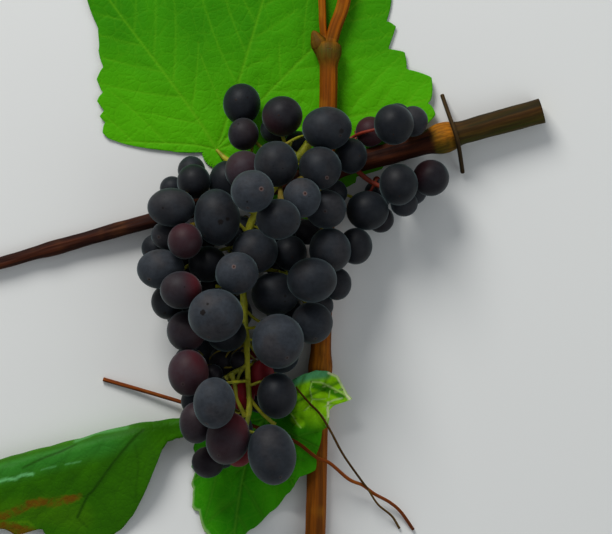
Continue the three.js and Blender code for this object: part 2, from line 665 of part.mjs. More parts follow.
const wingBehind = [
  ...HIDDEN_WING.map(([x, y, width]) => berryAt(x, y, width, width, 0, HIDDEN_BERRY_FACES)),
  ...WING.filter(isSmall).map(placed),
];
const wingPath = laidPath(WING_STALK.path, level(WING_STALK.radiusTop), SLACK, FINE_STEP);
const wingPaths = [wingPath, rootedPath(WING_STALK.side, level(SIDE_STALK), wingPath)];
const wingRadii = [taper(WING_STALK.radiusTop, WING_STALK.radiusFoot), level(SIDE_STALK)];
addPiece("side_bunch_stalk", stalkWithBerries(wingPaths, wingRadii, wingBehind), "stalk");

// The berries that show, each a piece of its own.
function addBerry(prefix, row) {
  const name = `${prefix}_${String(row[0]).padStart(2, "0")}`;
  addPiece(name, berryGeometry(placed(row)), "berry");
}

WING.filter((row) => !isSmall(row)).forEach((row) => addBerry("side_berry", row));
BUNCH.filter((row) => !isSmall(row)).forEach((row) => addBerry("berry", row));

// The origin is under the middle of the whole, on the surface that it lies on.
vine.updateMatrixWorld(true);
const box = new THREE.Box3().setFromObject(vine, true);
const middle = box.getCenter(new THREE.Vector3());
vine.position.set(-middle.x, -middle.y, -box.min.z);

export default vine;
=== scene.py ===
# A cut length of grapevine with its ripe bunch, lying on a pale table under a camera that looks down on it.
# Plan places are in millimetres: x to the right along the cane, y up the shoot and the bunch.
import math

import bpy
import numpy as np
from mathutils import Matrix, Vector
from mathutils.bvhtree import BVHTree


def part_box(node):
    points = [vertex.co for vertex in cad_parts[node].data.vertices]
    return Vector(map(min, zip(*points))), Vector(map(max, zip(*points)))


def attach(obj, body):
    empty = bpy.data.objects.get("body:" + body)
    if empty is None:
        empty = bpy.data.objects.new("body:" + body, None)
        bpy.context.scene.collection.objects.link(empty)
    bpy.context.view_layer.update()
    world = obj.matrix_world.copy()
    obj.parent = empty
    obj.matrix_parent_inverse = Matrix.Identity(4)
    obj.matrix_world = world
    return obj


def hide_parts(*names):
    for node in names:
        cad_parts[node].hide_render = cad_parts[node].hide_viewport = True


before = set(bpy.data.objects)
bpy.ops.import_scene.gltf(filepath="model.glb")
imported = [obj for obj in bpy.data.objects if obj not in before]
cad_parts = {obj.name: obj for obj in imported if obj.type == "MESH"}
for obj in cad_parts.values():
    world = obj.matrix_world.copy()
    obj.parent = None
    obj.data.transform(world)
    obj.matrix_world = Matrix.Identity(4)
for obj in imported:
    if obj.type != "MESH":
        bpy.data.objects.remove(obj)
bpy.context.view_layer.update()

MM = 0.001
# The camera looks straight down and sees VIEW_WIDTH at VIEW_HEIGHT above the table.
VIEW_CENTRE = (22.4, 1.2)
VIEW_WIDTH = 244.8
VIEW_HEIGHT = 35.0
CAMERA_HEIGHT = 2200.0
SENSOR = 36.0

# The berries that lean: width, length and lean of the length to the left, in degrees.
LEANING = {
    "berry_12": (16.8, 18.0, 15), "berry_27": (18.4, 22.8, 8),
    "berry_39": (17.6, 21.2, -12), "berry_41": (19.2, 24.4, 10),
}
# Marks on the skin: the place, the radius, and whether a pale ring lies round it.
SKIN_MARKS = [
    (4.8, 32, 0.55, True), (-6.3, 1.3, 0.5, True), (-11.8, 19.2, 1.3, False), (-8.9, 20.3, 0.9, False),
    (-4.8, 58.8, 0.5, False), (-1.2, 69.6, 0.4, False), (13.2, 40.4, 0.35, False), (-34.8, 24.8, 0.5, False),
    (22, 30.4, 0.5, True), (30.8, 36.8, 0.45, True), (14, -10.4, 0.6, False), (14, -12.6, 0.4, False),
    (-18.5, -16.8, 1.3, False), (-16.6, -13.4, 0.6, False), (36.6, 55.6, 1.1, False), (19, 18.2, 0.5, False),
    (-26, -6.7, 0.35, False), (-34.4, -17.4, 0.7, False), (-0.8, 27, 0.4, False),
]
# How red a berry is all over, and how much redder it gets towards a side given as x and y.
REDNESS = {
    "berry_23": (0.3, 0.1, (1, 0)), "berry_29": (0.33, 0.1, (0, 1)), "berry_35": (0.2, 0.5, (1, 0.15)),
    "berry_37": (0.36, 0.24, (1, 0.6)), "berry_39": (0.3, 0.36, (0.6, 1)), "berry_38": (0.2, 0.1, (0, 1)),
    "berry_15": (0.05, 0.35, (1, 0.4)), "berry_09": (0.1, 0.25, (-1, -1)), "berry_18": (0.2, 0.2, (1, 0)),
    "berry_07": (0.15, 0.1, (0, 1)), "berry_10": (0.15, 0.1, (1, 0)), "side_berry_01": (0.12, 0.3, (-1, 0.6)),
}
# Berries whose bloom is nearly gone, and those on which it is thickest.
DARK_BERRIES = {f"berry_{i:02d}" for i in (1, 2, 3, 4, 5, 6, 7, 8, 9, 13, 14, 17, 42)}
DARK_BERRIES |= {f"side_berry_{i:02d}" for i in (1, 2, 3, 4)}
PALE_BERRIES = {f"berry_{i:02d}" for i in (16, 22, 28, 32, 34, 36, 40)}
DARK_BLOOM = 0.04
PALE_BLOOM = 0.9
# The bloom of the other berries: the least and how much it varies.
OTHER_BLOOM = (0.2, 0.3)
# The half size of a berry for which the finish gives the scar's angles.
SCAR_SIZE = 9
# Forms of the skin, as shares of a berry's half size, and how far they reach, as angles.
UNEVEN_SKIN = 0.011
FOOT_DIP = (0.07, 0.2)
SCAR_DIP = (0.006, 0.13)
SCAR_KNOB = (0.01, 0.045)
# Berries fused to the stalks: the middle, the width and the length.
SMALL_BERRIES = [
    (19.2, 50.8, 11, 11), (9.6, 56.8, 11.5, 11), (33.6, 31.2, 11, 11), (28, -14.4, 11, 11),
    (-25.2, -36, 10.6, 10.6), (-22.4, -52.8, 11.2, 11.2), (-11.2, -76, 9, 9), (0.4, -34, 5, 5),
    (-24, 40.4, 11.2, 11.6), (-32, 33.2, 9.8, 9.8), (34.8, -5.6, 12, 13.2), (-4.8, -72.8, 12, 12.8),
    (4.4, -43.6, 11, 15.2),
]
# How red some of them are.
RED_SMALL = {(0.4, -34): 1.0, (-4.8, -72.8): 0.85, (4.4, -43.6): 0.9, (48.4, 56): 0.4}
# A small red berry right behind the main stalk, and its gap to the stalk.
BEHIND_STALK = (-3.4, -50.2, 10.4, 13.0)
BEHIND_GAP = 0.4
# Dark berries deep in the bunch that show only between the others: the middle and the width.
TUCKED_BERRIES = [
    (-10.6, -36.6, 12.5), (-4.4, -31, 9.5), (-6, -43.5, 9), (-25.4, 4, 7), (23, 15.4, 10.5), (9, 1, 6),
    (-16.8, -6.3, 8), (-4.3, -36.6, 8), (-15, -42, 8), (52.6, 20.6, 11),
]
# Soft berries give a little where they press on each other.
GIVE = 0.88
TUCK_STEP = 0.3
TUCKED_RED = 0.12
# The same for the side bunch.
SMALL_SIDE_BERRIES = [(65.6, 60, 12, 12.4), (48.4, 56, 12, 12.4), (62, 26.8, 11.2, 10.4)]
# The lower layer of the bunch, in rows across it: how far up each row lies, and its left and right ends.
HIDDEN_ROWS = [
    (14, -21, 13), (-2, -31, 16), (-18, -27, 14), (-34, -20, 12), (-50, -17, 4), (-65, -14, 2),
]
HIDDEN_WIDTH = 15.0
HIDDEN_SPACING = 16.4
HIDDEN_WOBBLE = 1.1
HIDDEN_SIDE_BERRIES = [(52, 31, 12, 12), (66, 32, 11, 11), (59.5, 62, 11, 11)]

CANE = {"left": -124, "right": 118, "height": 31.4, "slope": 0.282, "radii": (2.2, 5.3)}
# The joints: the place and how much thicker the cane is there.
CANE_JOINTS = [(-80, 0.12), (-25, 0.35), (30, 0.35), (78, 0.35)]
CANE_JOINT_LENGTH = 5.0
# The joint with the pale collar, and from where to where the collar fades to each side.
COLLAR_JOINT = 78
COLLAR_FADE = (3.6, 5.4)
# How much slimmer the cane's bark is than its solid, and how far off the cane's side the shoots begin.
BARK_INSET = 0.15
SHOOT_GAP = 0.7
# Where the shoots leave the cane, and their ways from there.
SHOOT_X = 30.6
LOWER_SHOOT = [(29.6, 8), (28.4, -32), (27.4, -60), (26.6, -90), (25.8, -122)]
LOWER_RADIUS = 4.1
UPPER_SHOOT = [(31.2, 60), (31.5, 74), (31.6, 90)]
UPPER_RADIUS = 3.6
# The two branches of the fork: the radius and the way.
UPPER_BRANCHES = [
    (2.7, [(31.6, 88), (34.2, 98), (37.6, 108), (41, 126), (45, 145)]),
    (1.5, [(31, 88), (29.4, 98), (29, 108), (28.4, 124), (27, 139)]),
]
# The fork: how green its bark is and how far that reaches, and the bud in it.
FORK_Y = 88.5
FORK_STAIN = (0.9, 5.5)
FORK_BUD = {"plan": (28.8, 89.5), "way": (-0.42, 0.9, 0.1), "length": 12, "width": 6.2, "stain": 0.7}

MAIN_STALK = [
    (29.5, 60), (22, 49), (14, 39), (6, 29), (0.6, 20), (-2, 10), (-3, -2), (-2.6, -14), (-1.6, -28),
    (-1, -42), (-0.4, -56), (-3, -68),
]
MAIN_STALK_RADII = (1.9, 0.9)
SIDE_STALKS = [
    [(14, 39), (2, 41), (-12, 38), (-24, 33)],
    [(6, 29), (18, 24), (28, 18), (34, 8)],
    [(-2, 10), (-12, 8), (-22, 4), (-30, -2)],
    [(-3, -2), (8, 0), (18, -3), (26, -6)],
    [(-2.6, -14), (-12, -14), (-20, -16), (-26, -19)],
    [(-1.6, -28), (-10, -32), (-16, -38), (-20, -45)],
    [(-0.4, -56), (-6, -58), (-12, -62), (-15, -68)],
]
SIDE_STALK_RADIUS = 0.65
SIDE_STALK_BROWNING = 0.2
# A berry's own stalk: its radius, its knob where it leaves and its seat under the berry, each with its reach.
BERRY_STALK_RADIUS = 0.6
STALK_KNOB = (0.45, 0.08)
STALK_SEAT = (0.85, 0.09)
# Stalks reach the berries above this place from below, and the others from above.
TOP_OF_BUNCH = 45
# How much a place on the wrong side of a berry counts against it as the root of its stalk, to the millimetre,
# and the room that it has.
ROOT_ABOVE = (0.45, 3)
ROOT_BELOW = (0.8, 13)
# A stalk longer than this can carry others.
CARRYING_LENGTH = 9
# How far a berry's stalk keeps off the berries that show, its lowest place, how high it may arch, how often
# it is pushed out, by berries how near, and how much of each push is downwards.
STALK_ROOM = 0.7
LOWEST_STALK = 0.8
STALK_ARCH = 0.8
PUSHES = 30
PUSHED_WITHIN = 26
PUSHED_DOWN = 0.35
# Short green branches that the main stalk gives off in sight: the radius, how far it droops and its way.
GREEN_BRANCHES = [
    (0.75, 3.0, [(-0.8, -50.5), (1.6, -54), (4.6, -57.4), (7.6, -60.2), (9.8, -62.2)]),
    (0.7, 0.5, [(14, 39), (9, 45), (4.4, 49.4), (0.6, 53)]),
    (0.7, 1.0, [(19.6, 46), (14.6, 50), (12.6, 55)]),
    (1.0, 2.0, [(-1.2, -38.5), (-4.5, -40.2), (-7.6, -41.8), (-9.6, -43.6)]),
    (0.7, 1.5, [(-3.4, -39.8), (-5, -43.6), (-5.6, -48)]),
    (0.7, 1.0, [(-1.6, 15.6), (-5, 19), (-7.6, 23.4)]),
    (0.7, 0.5, [(0.8, 22), (4, 21.2), (8, 21.4)]),
    (0.85, 0.6, [(-7.6, -41.4), (-6.2, -46.4), (-4.9, -52.6), (-2, -59)]),
    (0.6, 1.5, [(-0.6, 18), (3, 17), (6.4, 13.6)]),
    (0.6, 1.0, [(-2.4, -15.6), (1.4, -19.4), (5.6, -21.8)]),
    (0.55, 2.0, [(-3, -8), (-8.4, -7.2), (-14, -6.4)]),
    (0.5, 1.2, [(-1.6, -28), (2, -33.3), (5.3, -37.8), (9, -41.6)]),
]
WING_STALK = [(34.6, 62), (38.5, 52), (41, 43), (48, 36), (58, 32), (66, 33)]
WING_STALK_RADII = (1.3, 0.8)
WING_SIDE = [(38.5, 52), (44, 55), (52, 57), (60, 59)]
# Dry stalks that have lost their berries, each from near the main stalk, and their radius and droop.
BARE_STALKS = [
    [(-2.4, -27), (-8, -30), (-12, -34.6), (-15.1, -41.9)],
    [(-2.6, -30), (-6.5, -33), (-8.2, -37), (-7.8, -42.4)],
    [(-6, -31), (-9, -33.5), (-10.4, -37), (-10, -41)],
    [(-2, -32), (-4.6, -35), (-5.6, -38.5), (-4.8, -41)],
    [(-1.4, -33), (2.5, -37), (3.5, -41)],
    [(-4, -30), (-9, -31.5), (-13.6, -33), (-16.5, -36)],
    [(-1.6, -37), (-5, -38.4), (-8.2, -39.2), (-12, -39.4)],
]
BARE_RADIUS = 0.36
BARE_DROOP = 5.0
BARE_BROWNING = 0.9
# How far below the main stalk's middle a thin stalk leaves it, its swollen foot, its knob, and the swelling
# of the main stalk where it gives off a side stalk, each with its reach.
TWIG_DROP = 0.4
TWIG_FOOT = (0.6, 0.1)
TWIG_KNOB = (0.5, 0.07)
STALK_SWELLING = (0.28, 1.8)
# Warts to the square metre of stalk, and their least and greatest radius in metres.
WARTS = {"Density": 60000.0, "Smallest": 0.0001, "Largest": 0.00024, "Seed": 4}
# How far the stalks stay above the table.
CLEARANCE = 0.1

TENDRIL = [
    (-60, -44.4), (-46, -48.4), (-27, -54), (-8, -60), (6, -65), (18, -69.4), (26.7, -75.8), (31.9, -78.1),
    (39.8, -84.8), (45.3, -87.2), (50.1, -90.8), (56.4, -94.3), (61, -98.4), (66, -105.6),
]
TENDRIL_RADIUS = 0.85
# The thin forks of the long tendril.
TENDRIL_FORKS = [
    [(18.2, -47.3), (23.6, -53.6), (27.9, -58), (31.9, -64.3), (37.4, -74.6), (44.5, -84.8), (47.5, -88.8)],
    [(47.5, -88.8), (51.6, -95.1), (57.2, -99.9), (60.4, -105)],
]
FORK_RADIUS = 0.45
DRY_TENDRIL = [(77.7, 71), (80.6, 61.6), (83.2, 53.6), (84.6, 47.4), (86, 39.6)]
DRY_RADIUS = 0.85
TENDRIL_STEP = 0.8

LEAF_STALK_RADIUS = 1.3
LEAF_STALK_BROWNING = 0.15
# How much thicker a leaf's stalk is at its far end, and how far it sinks under the blade, with their reach.
LEAF_STALK_END = (0.5, 3)
LEAF_STALK_SINK = (0.9, 3)
LEAF_THICKNESS = 0.36
# An outline has degrees and reaches round the leaf's foot. A vein has its degrees and length, then how many
# degrees it bends and over what length the bend fades. A drawn vein has a width, a weight and its places.
# calm is the span of degrees without teeth, soft is how strongly the other veins show, and puff is how far
# the blade rises between the veins. The places of a stalk have heights. turns and rings say how fine the
# blade's mesh is.
TOP_LEAF = {
    "foot": (-14, 48.8), "midrib": 71, "teeth": 46, "tooth_depth": 0.05, "puff": 0.26, "vein_share": 0.42,
    "slot": "top_leaf_blade", "turns": 700, "rings": 116,
    "outline": [
        (-62, 8), (-50, 34), (-34, 50), (-14, 57), (6, 86), (13, 92), (30, 84), (42, 94), (56, 78), (71, 98),
        (90, 80), (104, 68), (120, 78), (128, 83), (140, 61), (152, 54), (164, 49), (174, 45), (182, 18),
        (190, 6),
    ],
    "veins": [(73, 96, -3, 30), (126, 84, -8, 25), (46, 92, 6, 25), (13, 90, 8, 25), (-34, 52, 14, 16),
              (176, 46, -16, 14)],
    "stalk": [(-14, 48.8, 1.6), (-7.5, 43.8, 3.4), (6, 43.6, 4), (17, 47, 4.4), (26.3, 53, 5.4)],
}
LEFT_LEAF = {
    "foot": (-32.8, -64), "midrib": 195, "teeth": 40, "tooth_depth": 0.035, "puff": 0.26, "vein_share": 0.3,
    "slot": "lower_leaf_blade", "turns": 660, "rings": 112,
    "outline": [
        (-60, 5), (-20, 7.5), (20, 8), (60, 5.5), (100, 6), (115, 14), (130, 28), (146, 44), (160, 58),
        (172, 66), (184, 84), (195, 95), (203, 89), (209, 84), (214, 77), (218, 68), (227, 64), (239, 54),
        (244, 46.5), (247, 39), (248.8, 29), (250.5, 9), (262, 5.5),
    ],
    "calm": (-126, -92),
    "veins": [(192, 92, -10, 35), (164, 58, 14, 18), (138, 34, 20, 12)],
    "soft": 0.3,
    "drawn": [
        (0.3, 1.0, [(-43.3, -64.7), (-47.4, -68.3), (-55.2, -77.7), (-63.5, -89), (-66.1, -91.7),
                    (-70.3, -100.4)]),
        (0.25, 0.9, [(-70.8, -70.5), (-77, -73.5), (-84, -76.2), (-92, -80)]),
        (0.22, 0.4, [(-70.3, -100.4), (-66.1, -104.6)]),
        (0.22, 0.5, [(-66.1, -91.7), (-70.3, -91.7)]),
        (0.3, 0.3, [(-46.6, -71), (-45.4, -79), (-46.4, -88), (-46.4, -94)]),
    ],
    "stalk": [(-33.6, -64.4, 6), (-28, -62.6, 3.6), (-20, -56, 1.8), (-12, -42, 1.7), (7, -25, 1.9),
              (23.2, -14, 4)],
}
CENTRE_LEAF = {
    "foot": (6, -60), "midrib": 252, "teeth": 34, "tooth_depth": 0.045, "puff": 0.35, "vein_share": 0.45,
    "slot": "lower_leaf_blade", "turns": 600, "rings": 90,
    "outline": [
        (100, 6), (70, 12), (56, 18.4), (47, 25), (43, 28.6), (36, 32), (30, 34), (24, 34), (17, 34.6),
        (12.4, 36), (10.6, 28), (7, 26), (-7, 25.5), (-12, 23.5), (-34, 25), (-46, 29), (-60, 27.5),
        (-74, 32), (-86, 38), (-98, 46), (-108, 62), (-118, 51.5), (-127, 48), (-133, 44), (-143, 37),
        (-158, 31), (-172, 26), (-196, 17), (-222, 10),
    ],
    "calm": (-112, 66),
    "veins": [(260, 60, -26, 30), (294, 36, -10, 14), (220, 48, 10, 16), (332, 26, -12, 10), (26, 33, 12, 10),
              (184, 26, 14, 10)],
    "stalk": [(6, -60, 1.6), (9, -45, 1.9), (16, -32, 2.2), (23.4, -25, 4)],
}
# The height of a blade that lies flat. Waves have a count, a phase and a height at a distance from the foot.
FLAT = 0.9
TOP_WAVES = (5, 1.2, 0.55, 60)
CENTRE_WAVES = (4, 0.6, 0.5, 40)
# How the left leaf rolls under along its upper side, and how the centre leaf lifts over the shoot.
CURL = {"tightest": 2.8, "widest": 5.2, "from": -6, "to": 16, "turn": 3.0, "droop": 46}
LIFT = {"from": 9.5, "to": 19.5, "height": 10.6}
# The relief of a blade: how far from a vein it is full, the height and length of its broad creases and of the
# sharp ones where it is crumpled, how much of the puff a vein is sunk by, and how far it stands out below.
PUFF_WIDTH = 2.6
CRINKLE = 0.22
CRINKLE_LENGTH = 9
CRUMPLE = 0.6
CRUMPLE_LENGTH = 3.2
VEIN_SINK = 0.6
UNDER_VEIN = 0.35
# Side veins: where the first one leaves, how far apart they are, their angle to the main vein, how much
# smaller it gets along that vein, and how much it varies.
SIDE_VEINS = {"first": 6.0, "spacing": 6.5, "angle": 52, "closing": 14, "varies": 8}
# The widths of veins where they begin and end. A main vein begins as wide as this if it is a long one.
MAIN_VEIN = (0.75, 0.35)
LONG_VEIN = 90
SIDE_VEIN = (0.42, 0.28)
SIDE_VEIN_STRENGTH = 0.6
# The lowest places of blades and bark above the table.
LOWEST_BLADE = 0.05
LOWEST_BARK = 0.02

# A distance at which no line or vein shows.
FAR = 99.0
TABLE_REACH = 3.0
# Where the lights are aimed, in metres.
LIGHTS_AIM = (0, 0, 0.02)


# Small sums that everything below uses.


def chance(seed):
    """A number between 0 and 1 that is always the same for a seed."""
    wave = math.sin(seed * 127.1 + 311.7) * 43758.5453
    return wave - math.floor(wave)


def smooth_step(low, high, value):
    """0 at low, 1 at high and smooth between them. The two may be given the other way round."""
    share = np.clip((value - low) / (high - low), 0, 1)
    return share * share * (3 - 2 * share)


def hump(gap, height, reach):
    """The height where the gap is 0, falling away over the reach."""
    return height * np.exp(-((gap / reach) ** 2))


def turned(x, y, angle):
    """Plan places turned to the left about zero, by an angle in radians."""
    cos, sin = math.cos(angle), math.sin(angle)
    return x * cos - y * sin, x * sin + y * cos


def lattice_noise(points, seed):
    """Smooth noise between -1 and 1, one cell to a unit of the points."""
    cell = np.floor(points).astype(np.int64)
    share = points - cell
    share = share * share * (3 - 2 * share)
    total = np.zeros(len(points))
    for corner in np.ndindex(2, 2, 2):
        key = ((cell + corner) * (73856093, 19349663, 83492791)).sum(1) + seed * 1013904223
        value = (((key ^ (key >> 13)) * 1274126177) & 0x7FFFFFFF) / 0x7FFFFFFF
        weight = np.where(np.array(corner) == 1, share, 1 - share).prod(1)
        total += value * weight
    return total * 2 - 1


def unit(vectors):
    """The same ways with a length of 1."""
    vectors = np.asarray(vectors, float)
    return vectors / np.maximum(np.linalg.norm(vectors, axis=-1, keepdims=True), 1e-12)


def along_curve(places, step):
    """Points every step along a smooth curve through the places."""
    knots = np.asarray(places, float)
    ends = np.vstack([2 * knots[0] - knots[1], knots, 2 * knots[-1] - knots[-2]])
    fine = []
    for a, b, c, d in zip(ends, ends[1:], ends[2:], ends[3:]):
        for t in np.linspace(0, 1, 24, endpoint=False):
            square = (2 * a - 5 * b + 4 * c - d) * t**2
            cube = (3 * b - a - 3 * c + d) * t**3
            fine.append(0.5 * (2 * b + (c - a) * t + square + cube))
    fine.append(knots[-1])
    fine = np.array(fine)
    lengths = np.concatenate([[0], np.cumsum(np.linalg.norm(np.diff(fine, axis=0), axis=1))])
    wanted = np.linspace(0, lengths[-1], max(2, math.ceil(lengths[-1] / step) + 1))
    return np.stack([np.interp(wanted, lengths, fine[:, k]) for k in range(fine.shape[1])], axis=1)


# The frame's own place: the plan's zero lies off its middle, as berry_36 shows.
low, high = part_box("berry_36")
SHIFT = np.array(((low + high) / 2).to_tuple()[:2]) / MM - (-13.6, -18)


def to_frame(points):
    """Plan millimetres, as x, y and z, to the frame's metres."""
    return (np.asarray(points, float) + (SHIFT[0], SHIFT[1], 0)) * MM


def node_points(node):
    """The vertices of one of the frame's solids, in plan millimetres."""
    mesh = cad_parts[node].data
    points = np.zeros(len(mesh.vertices) * 3, np.float32)
    mesh.vertices.foreach_get("co", points)
    return points.reshape(-1, 3) / MM - (SHIFT[0], SHIFT[1], 0)


def heights_on(node, plan, radii):
    """The height of a limb's middle along its plan, read off the top of the frame's own solid."""
    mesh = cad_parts[node].data
    tree = BVHTree.FromPolygons([v.co for v in mesh.vertices], [p.vertices for p in mesh.polygons])
    heights = []
    for x, y in plan:
        start = Vector(to_frame((x, y, 300)))
        hit = tree.ray_cast(start, Vector((0, 0, -1)))[0]
        heights.append(np.nan if hit is None else hit.z / MM)
    heights = np.array(heights)
    known = ~np.isnan(heights)
    steps = np.arange(len(heights))
    heights = np.interp(steps, steps[known], heights[known]) - radii
    padded = np.pad(heights, 2, mode="edge")
    return np.convolve(padded, np.ones(5) / 5, mode="valid")


def laid_path(node, places, radius_at, step=1.0):
    """The middle line of a limb that lies where its solid lies, and its radii."""
    plan = along_curve(places, step)
    radii = radius_at(np.linspace(0, 1, len(plan)))
    return np.column_stack([plan, heights_on(node, plan, radii)]), radii


def level(radius):
    """A radius that is the same all along."""
    return lambda share: np.full(np.shape(share), float(radius))


def taper(start, end):
    """A radius that changes evenly along the limb."""
    return lambda share: start + (end - start) * np.asarray(share)


# Meshes and materials.


def piece_of(name, points, faces, material, values):
    """A mesh object whose points hold the given values for its material."""
    mesh = bpy.data.meshes.new(name)
    mesh.from_pydata(to_frame(points).tolist(), [], faces)
    mesh.materials.append(material)
    for key, value in values.items():
        value = np.asarray(value, np.float32)
        kind = "FLOAT" if value.ndim == 1 else "FLOAT_VECTOR"
        field = "value" if value.ndim == 1 else "vector"
        mesh.attributes.new(key, kind, "POINT").data.foreach_set(field, value.ravel())
    mesh.shade_smooth()
    mesh.update()
    made = bpy.data.objects.new(name, mesh)
    bpy.context.scene.collection.objects.link(made)
    return made


def ring_faces(rows, turns, first=0, closed=True):
    """Faces from one point out over rings of points and, if closed, in to a last point."""
    faces = []
    last = first + 1 + (rows - 1) * turns
    for j in range(turns):
        after = (j + 1) % turns
        faces.append((first, first + 1 + j, first + 1 + after))
        for a in range(first + 1, last, turns):
            faces.append((a + j, a + turns + j, a + turns + after, a + after))
        if closed:
            faces.append((last + turns, last + after, last + j))
    return faces


class Value:
    """A shader socket that Python's operators add Math nodes to."""

    def __init__(self, finish, socket):
        self.finish = finish
        self.socket = socket

    def maths(self, operation, *values):
        return self.finish.add("ShaderNodeMath", {"operation": operation}, dict(enumerate(values)))

    def __add__(self, other):
        return self.maths("ADD", self, other)

    def __sub__(self, other):
        return self.maths("SUBTRACT", self, other)

    def __rsub__(self, other):
        return self.maths("SUBTRACT", other, self)

    def __mul__(self, other):
        return self.maths("MULTIPLY", self, other)

    __radd__ = __add__
    __rmul__ = __mul__

    def __pow__(self, other):
        return self.maths("POWER", self, other)

    def clamp(self, low, high):
        """0 below low, 1 above high and smooth between them. The two may be given the other way round."""
        settings = {"interpolation_type": "SMOOTHSTEP"}
        if low < high:
            return self.finish.add("ShaderNodeMapRange", settings, {0: self, 1: low, 2: high, 3: 0.0, 4: 1.0})
        return self.finish.add("ShaderNodeMapRange", settings, {0: self, 1: high, 2: low, 3: 1.0, 4: 0.0})


class Finish:
    """A material that is built node by node."""

    def __init__(self, name):
        self.material = bpy.data.materials.new(name)
        self.material.use_nodes = True
        self.tree = self.material.node_tree
        self.tree.nodes.clear()

    def add(self, kind, settings=None, inputs=None, output=0):
        node = self.tree.nodes.new(kind)
        for key, value in (settings or {}).items():
            setattr(node, key, value)
        for key, value in (inputs or {}).items():
            if isinstance(value, Value):
                self.tree.links.new(value.socket, node.inputs[key])
            else:
                node.inputs[key].default_value = value
        return None if output is None else Value(self, node.outputs[output])

    def distance(self, vector, spot):
        return self.add("ShaderNodeVectorMath", {"operation": "DISTANCE"}, {0: vector, 1: spot}, "Value")

    def places(self):
        return self.add("ShaderNodeTexCoord", output="Object")

    def value(self, name, output="Fac"):
        return self.add("ShaderNodeAttribute", {"attribute_name": name}, output=output)

    def stretched(self, vector, scale):
        return self.add("ShaderNodeMapping", None, {"Vector": vector, "Scale": scale})

    def noise(self, vector, scale, detail=3.0, roughness=0.5):
        inputs = {"Vector": vector, "Scale": scale, "Detail": detail, "Roughness": roughness}
        return self.add("ShaderNodeTexNoise", None, inputs)

    def cells(self, vector, scale, feature="F1", output="Distance"):
        inputs = {"Vector": vector, "Scale": scale}
        return self.add("ShaderNodeTexVoronoi", {"feature": feature}, inputs, output)

    def mix(self, share, first, second):
        wide = [c if isinstance(c, Value) else (*c, 1.0) for c in (first, second)]
        return self.add("ShaderNodeMix", {"data_type": "RGBA"}, {0: share, 6: wide[0], 7: wide[1]}, output=2)

    def bump(self, height, distance):
        return self.add("ShaderNodeBump", None, {"Height": height, "Distance": distance})

    def close(self, inputs):
        surface = self.add("ShaderNodeBsdfPrincipled", None, inputs)
        self.add("ShaderNodeOutputMaterial", None, {"Surface": surface}, output=None)
        return self.material


def berry_finish():
    """Blue-black skin under a thin waxy bloom, rubbed in places, with small dots and the scar at the tip."""
    skin = Finish("berry_skin")
    place = skin.places()
    scar = skin.value("scar_angle")
    redness = skin.value("redness")
    own = skin.value("own_shade")
    patches = skin.noise(place, 150.0, 4.0, 0.55)
    grain = skin.noise(place, 1700.0, 3.0, 0.6)
    rubbed = skin.noise(skin.stretched(place, (1.0, 1.6, 1.0)), 420.0, 2.0, 0.5).clamp(0.52, 0.76)
    mottle = skin.noise(place, 620.0, 3.0, 0.6).clamp(0.3, 0.7)
    bloom = (patches.clamp(0.28, 0.74) * 0.34 + mottle * 0.2 + grain * 0.16) * (own * 0.7 + 0.3) + own * 0.36
    bloom = bloom * (1 - rubbed * 0.25)
    bloom = bloom * (1 - redness ** 2 * 0.8)
    dots = skin.cells(place, 330.0)
    chosen = skin.cells(place, 330.0, output="Color").clamp(0.6, 0.64)
    speck = dots.clamp(0.1, 0.05) * chosen
    dark_skin = skin.mix(redness ** 2, (0.0040, 0.0050, 0.0075), (0.21, 0.004, 0.009))
    warmth = skin.noise(place, 95.0, 2.0, 0.5).clamp(0.42, 0.66)
    wax = skin.mix(warmth * 0.7, (0.044, 0.052, 0.065), (0.056, 0.049, 0.051))
    wax = skin.mix(redness, wax, (0.060, 0.030, 0.042))
    colour = skin.mix(bloom, dark_skin, wax)
    colour = skin.mix(speck * 0.7, colour, (0.004, 0.003, 0.004))
    plan = skin.stretched(place, (1.0, 1.0, 0.0))
    for x, y, radius, ringed in SKIN_MARKS:
        spot = tuple(float(part) for part in to_frame((x, y, 0))[:2]) + (0.0,)
        gap = skin.distance(plan, spot) * (1000.0 / radius) + (grain - 0.5) * 1.2
        if ringed:
            colour = skin.mix(gap.clamp(2.2, 1.2) * 0.6, colour, (0.16, 0.10, 0.09))
        dot = (0.030, 0.009, 0.005) if ringed else (0.006, 0.004, 0.004)
        colour = skin.mix(gap.clamp(1.0, 0.7), colour, dot)
    colour = skin.mix(scar.clamp(0.15, 0.06) * own * 0.4, colour, (0.10, 0.075, 0.07))
    colour = skin.mix(scar.clamp(0.05, 0.03), colour, (0.02, 0.009, 0.006))
    height = grain * 0.5 + patches * 0.5 - speck * 0.8
    return skin.close({
        "Base Color": colour, "Roughness": bloom * 0.25 + 0.48, "Specular IOR Level": 0.16,
        "Sheen Weight": 0.2, "Sheen Roughness": 0.33, "Sheen Tint": (0.6, 0.88, 0.92, 1.0),
        "Normal": skin.bump(height, 0.00006),
    })


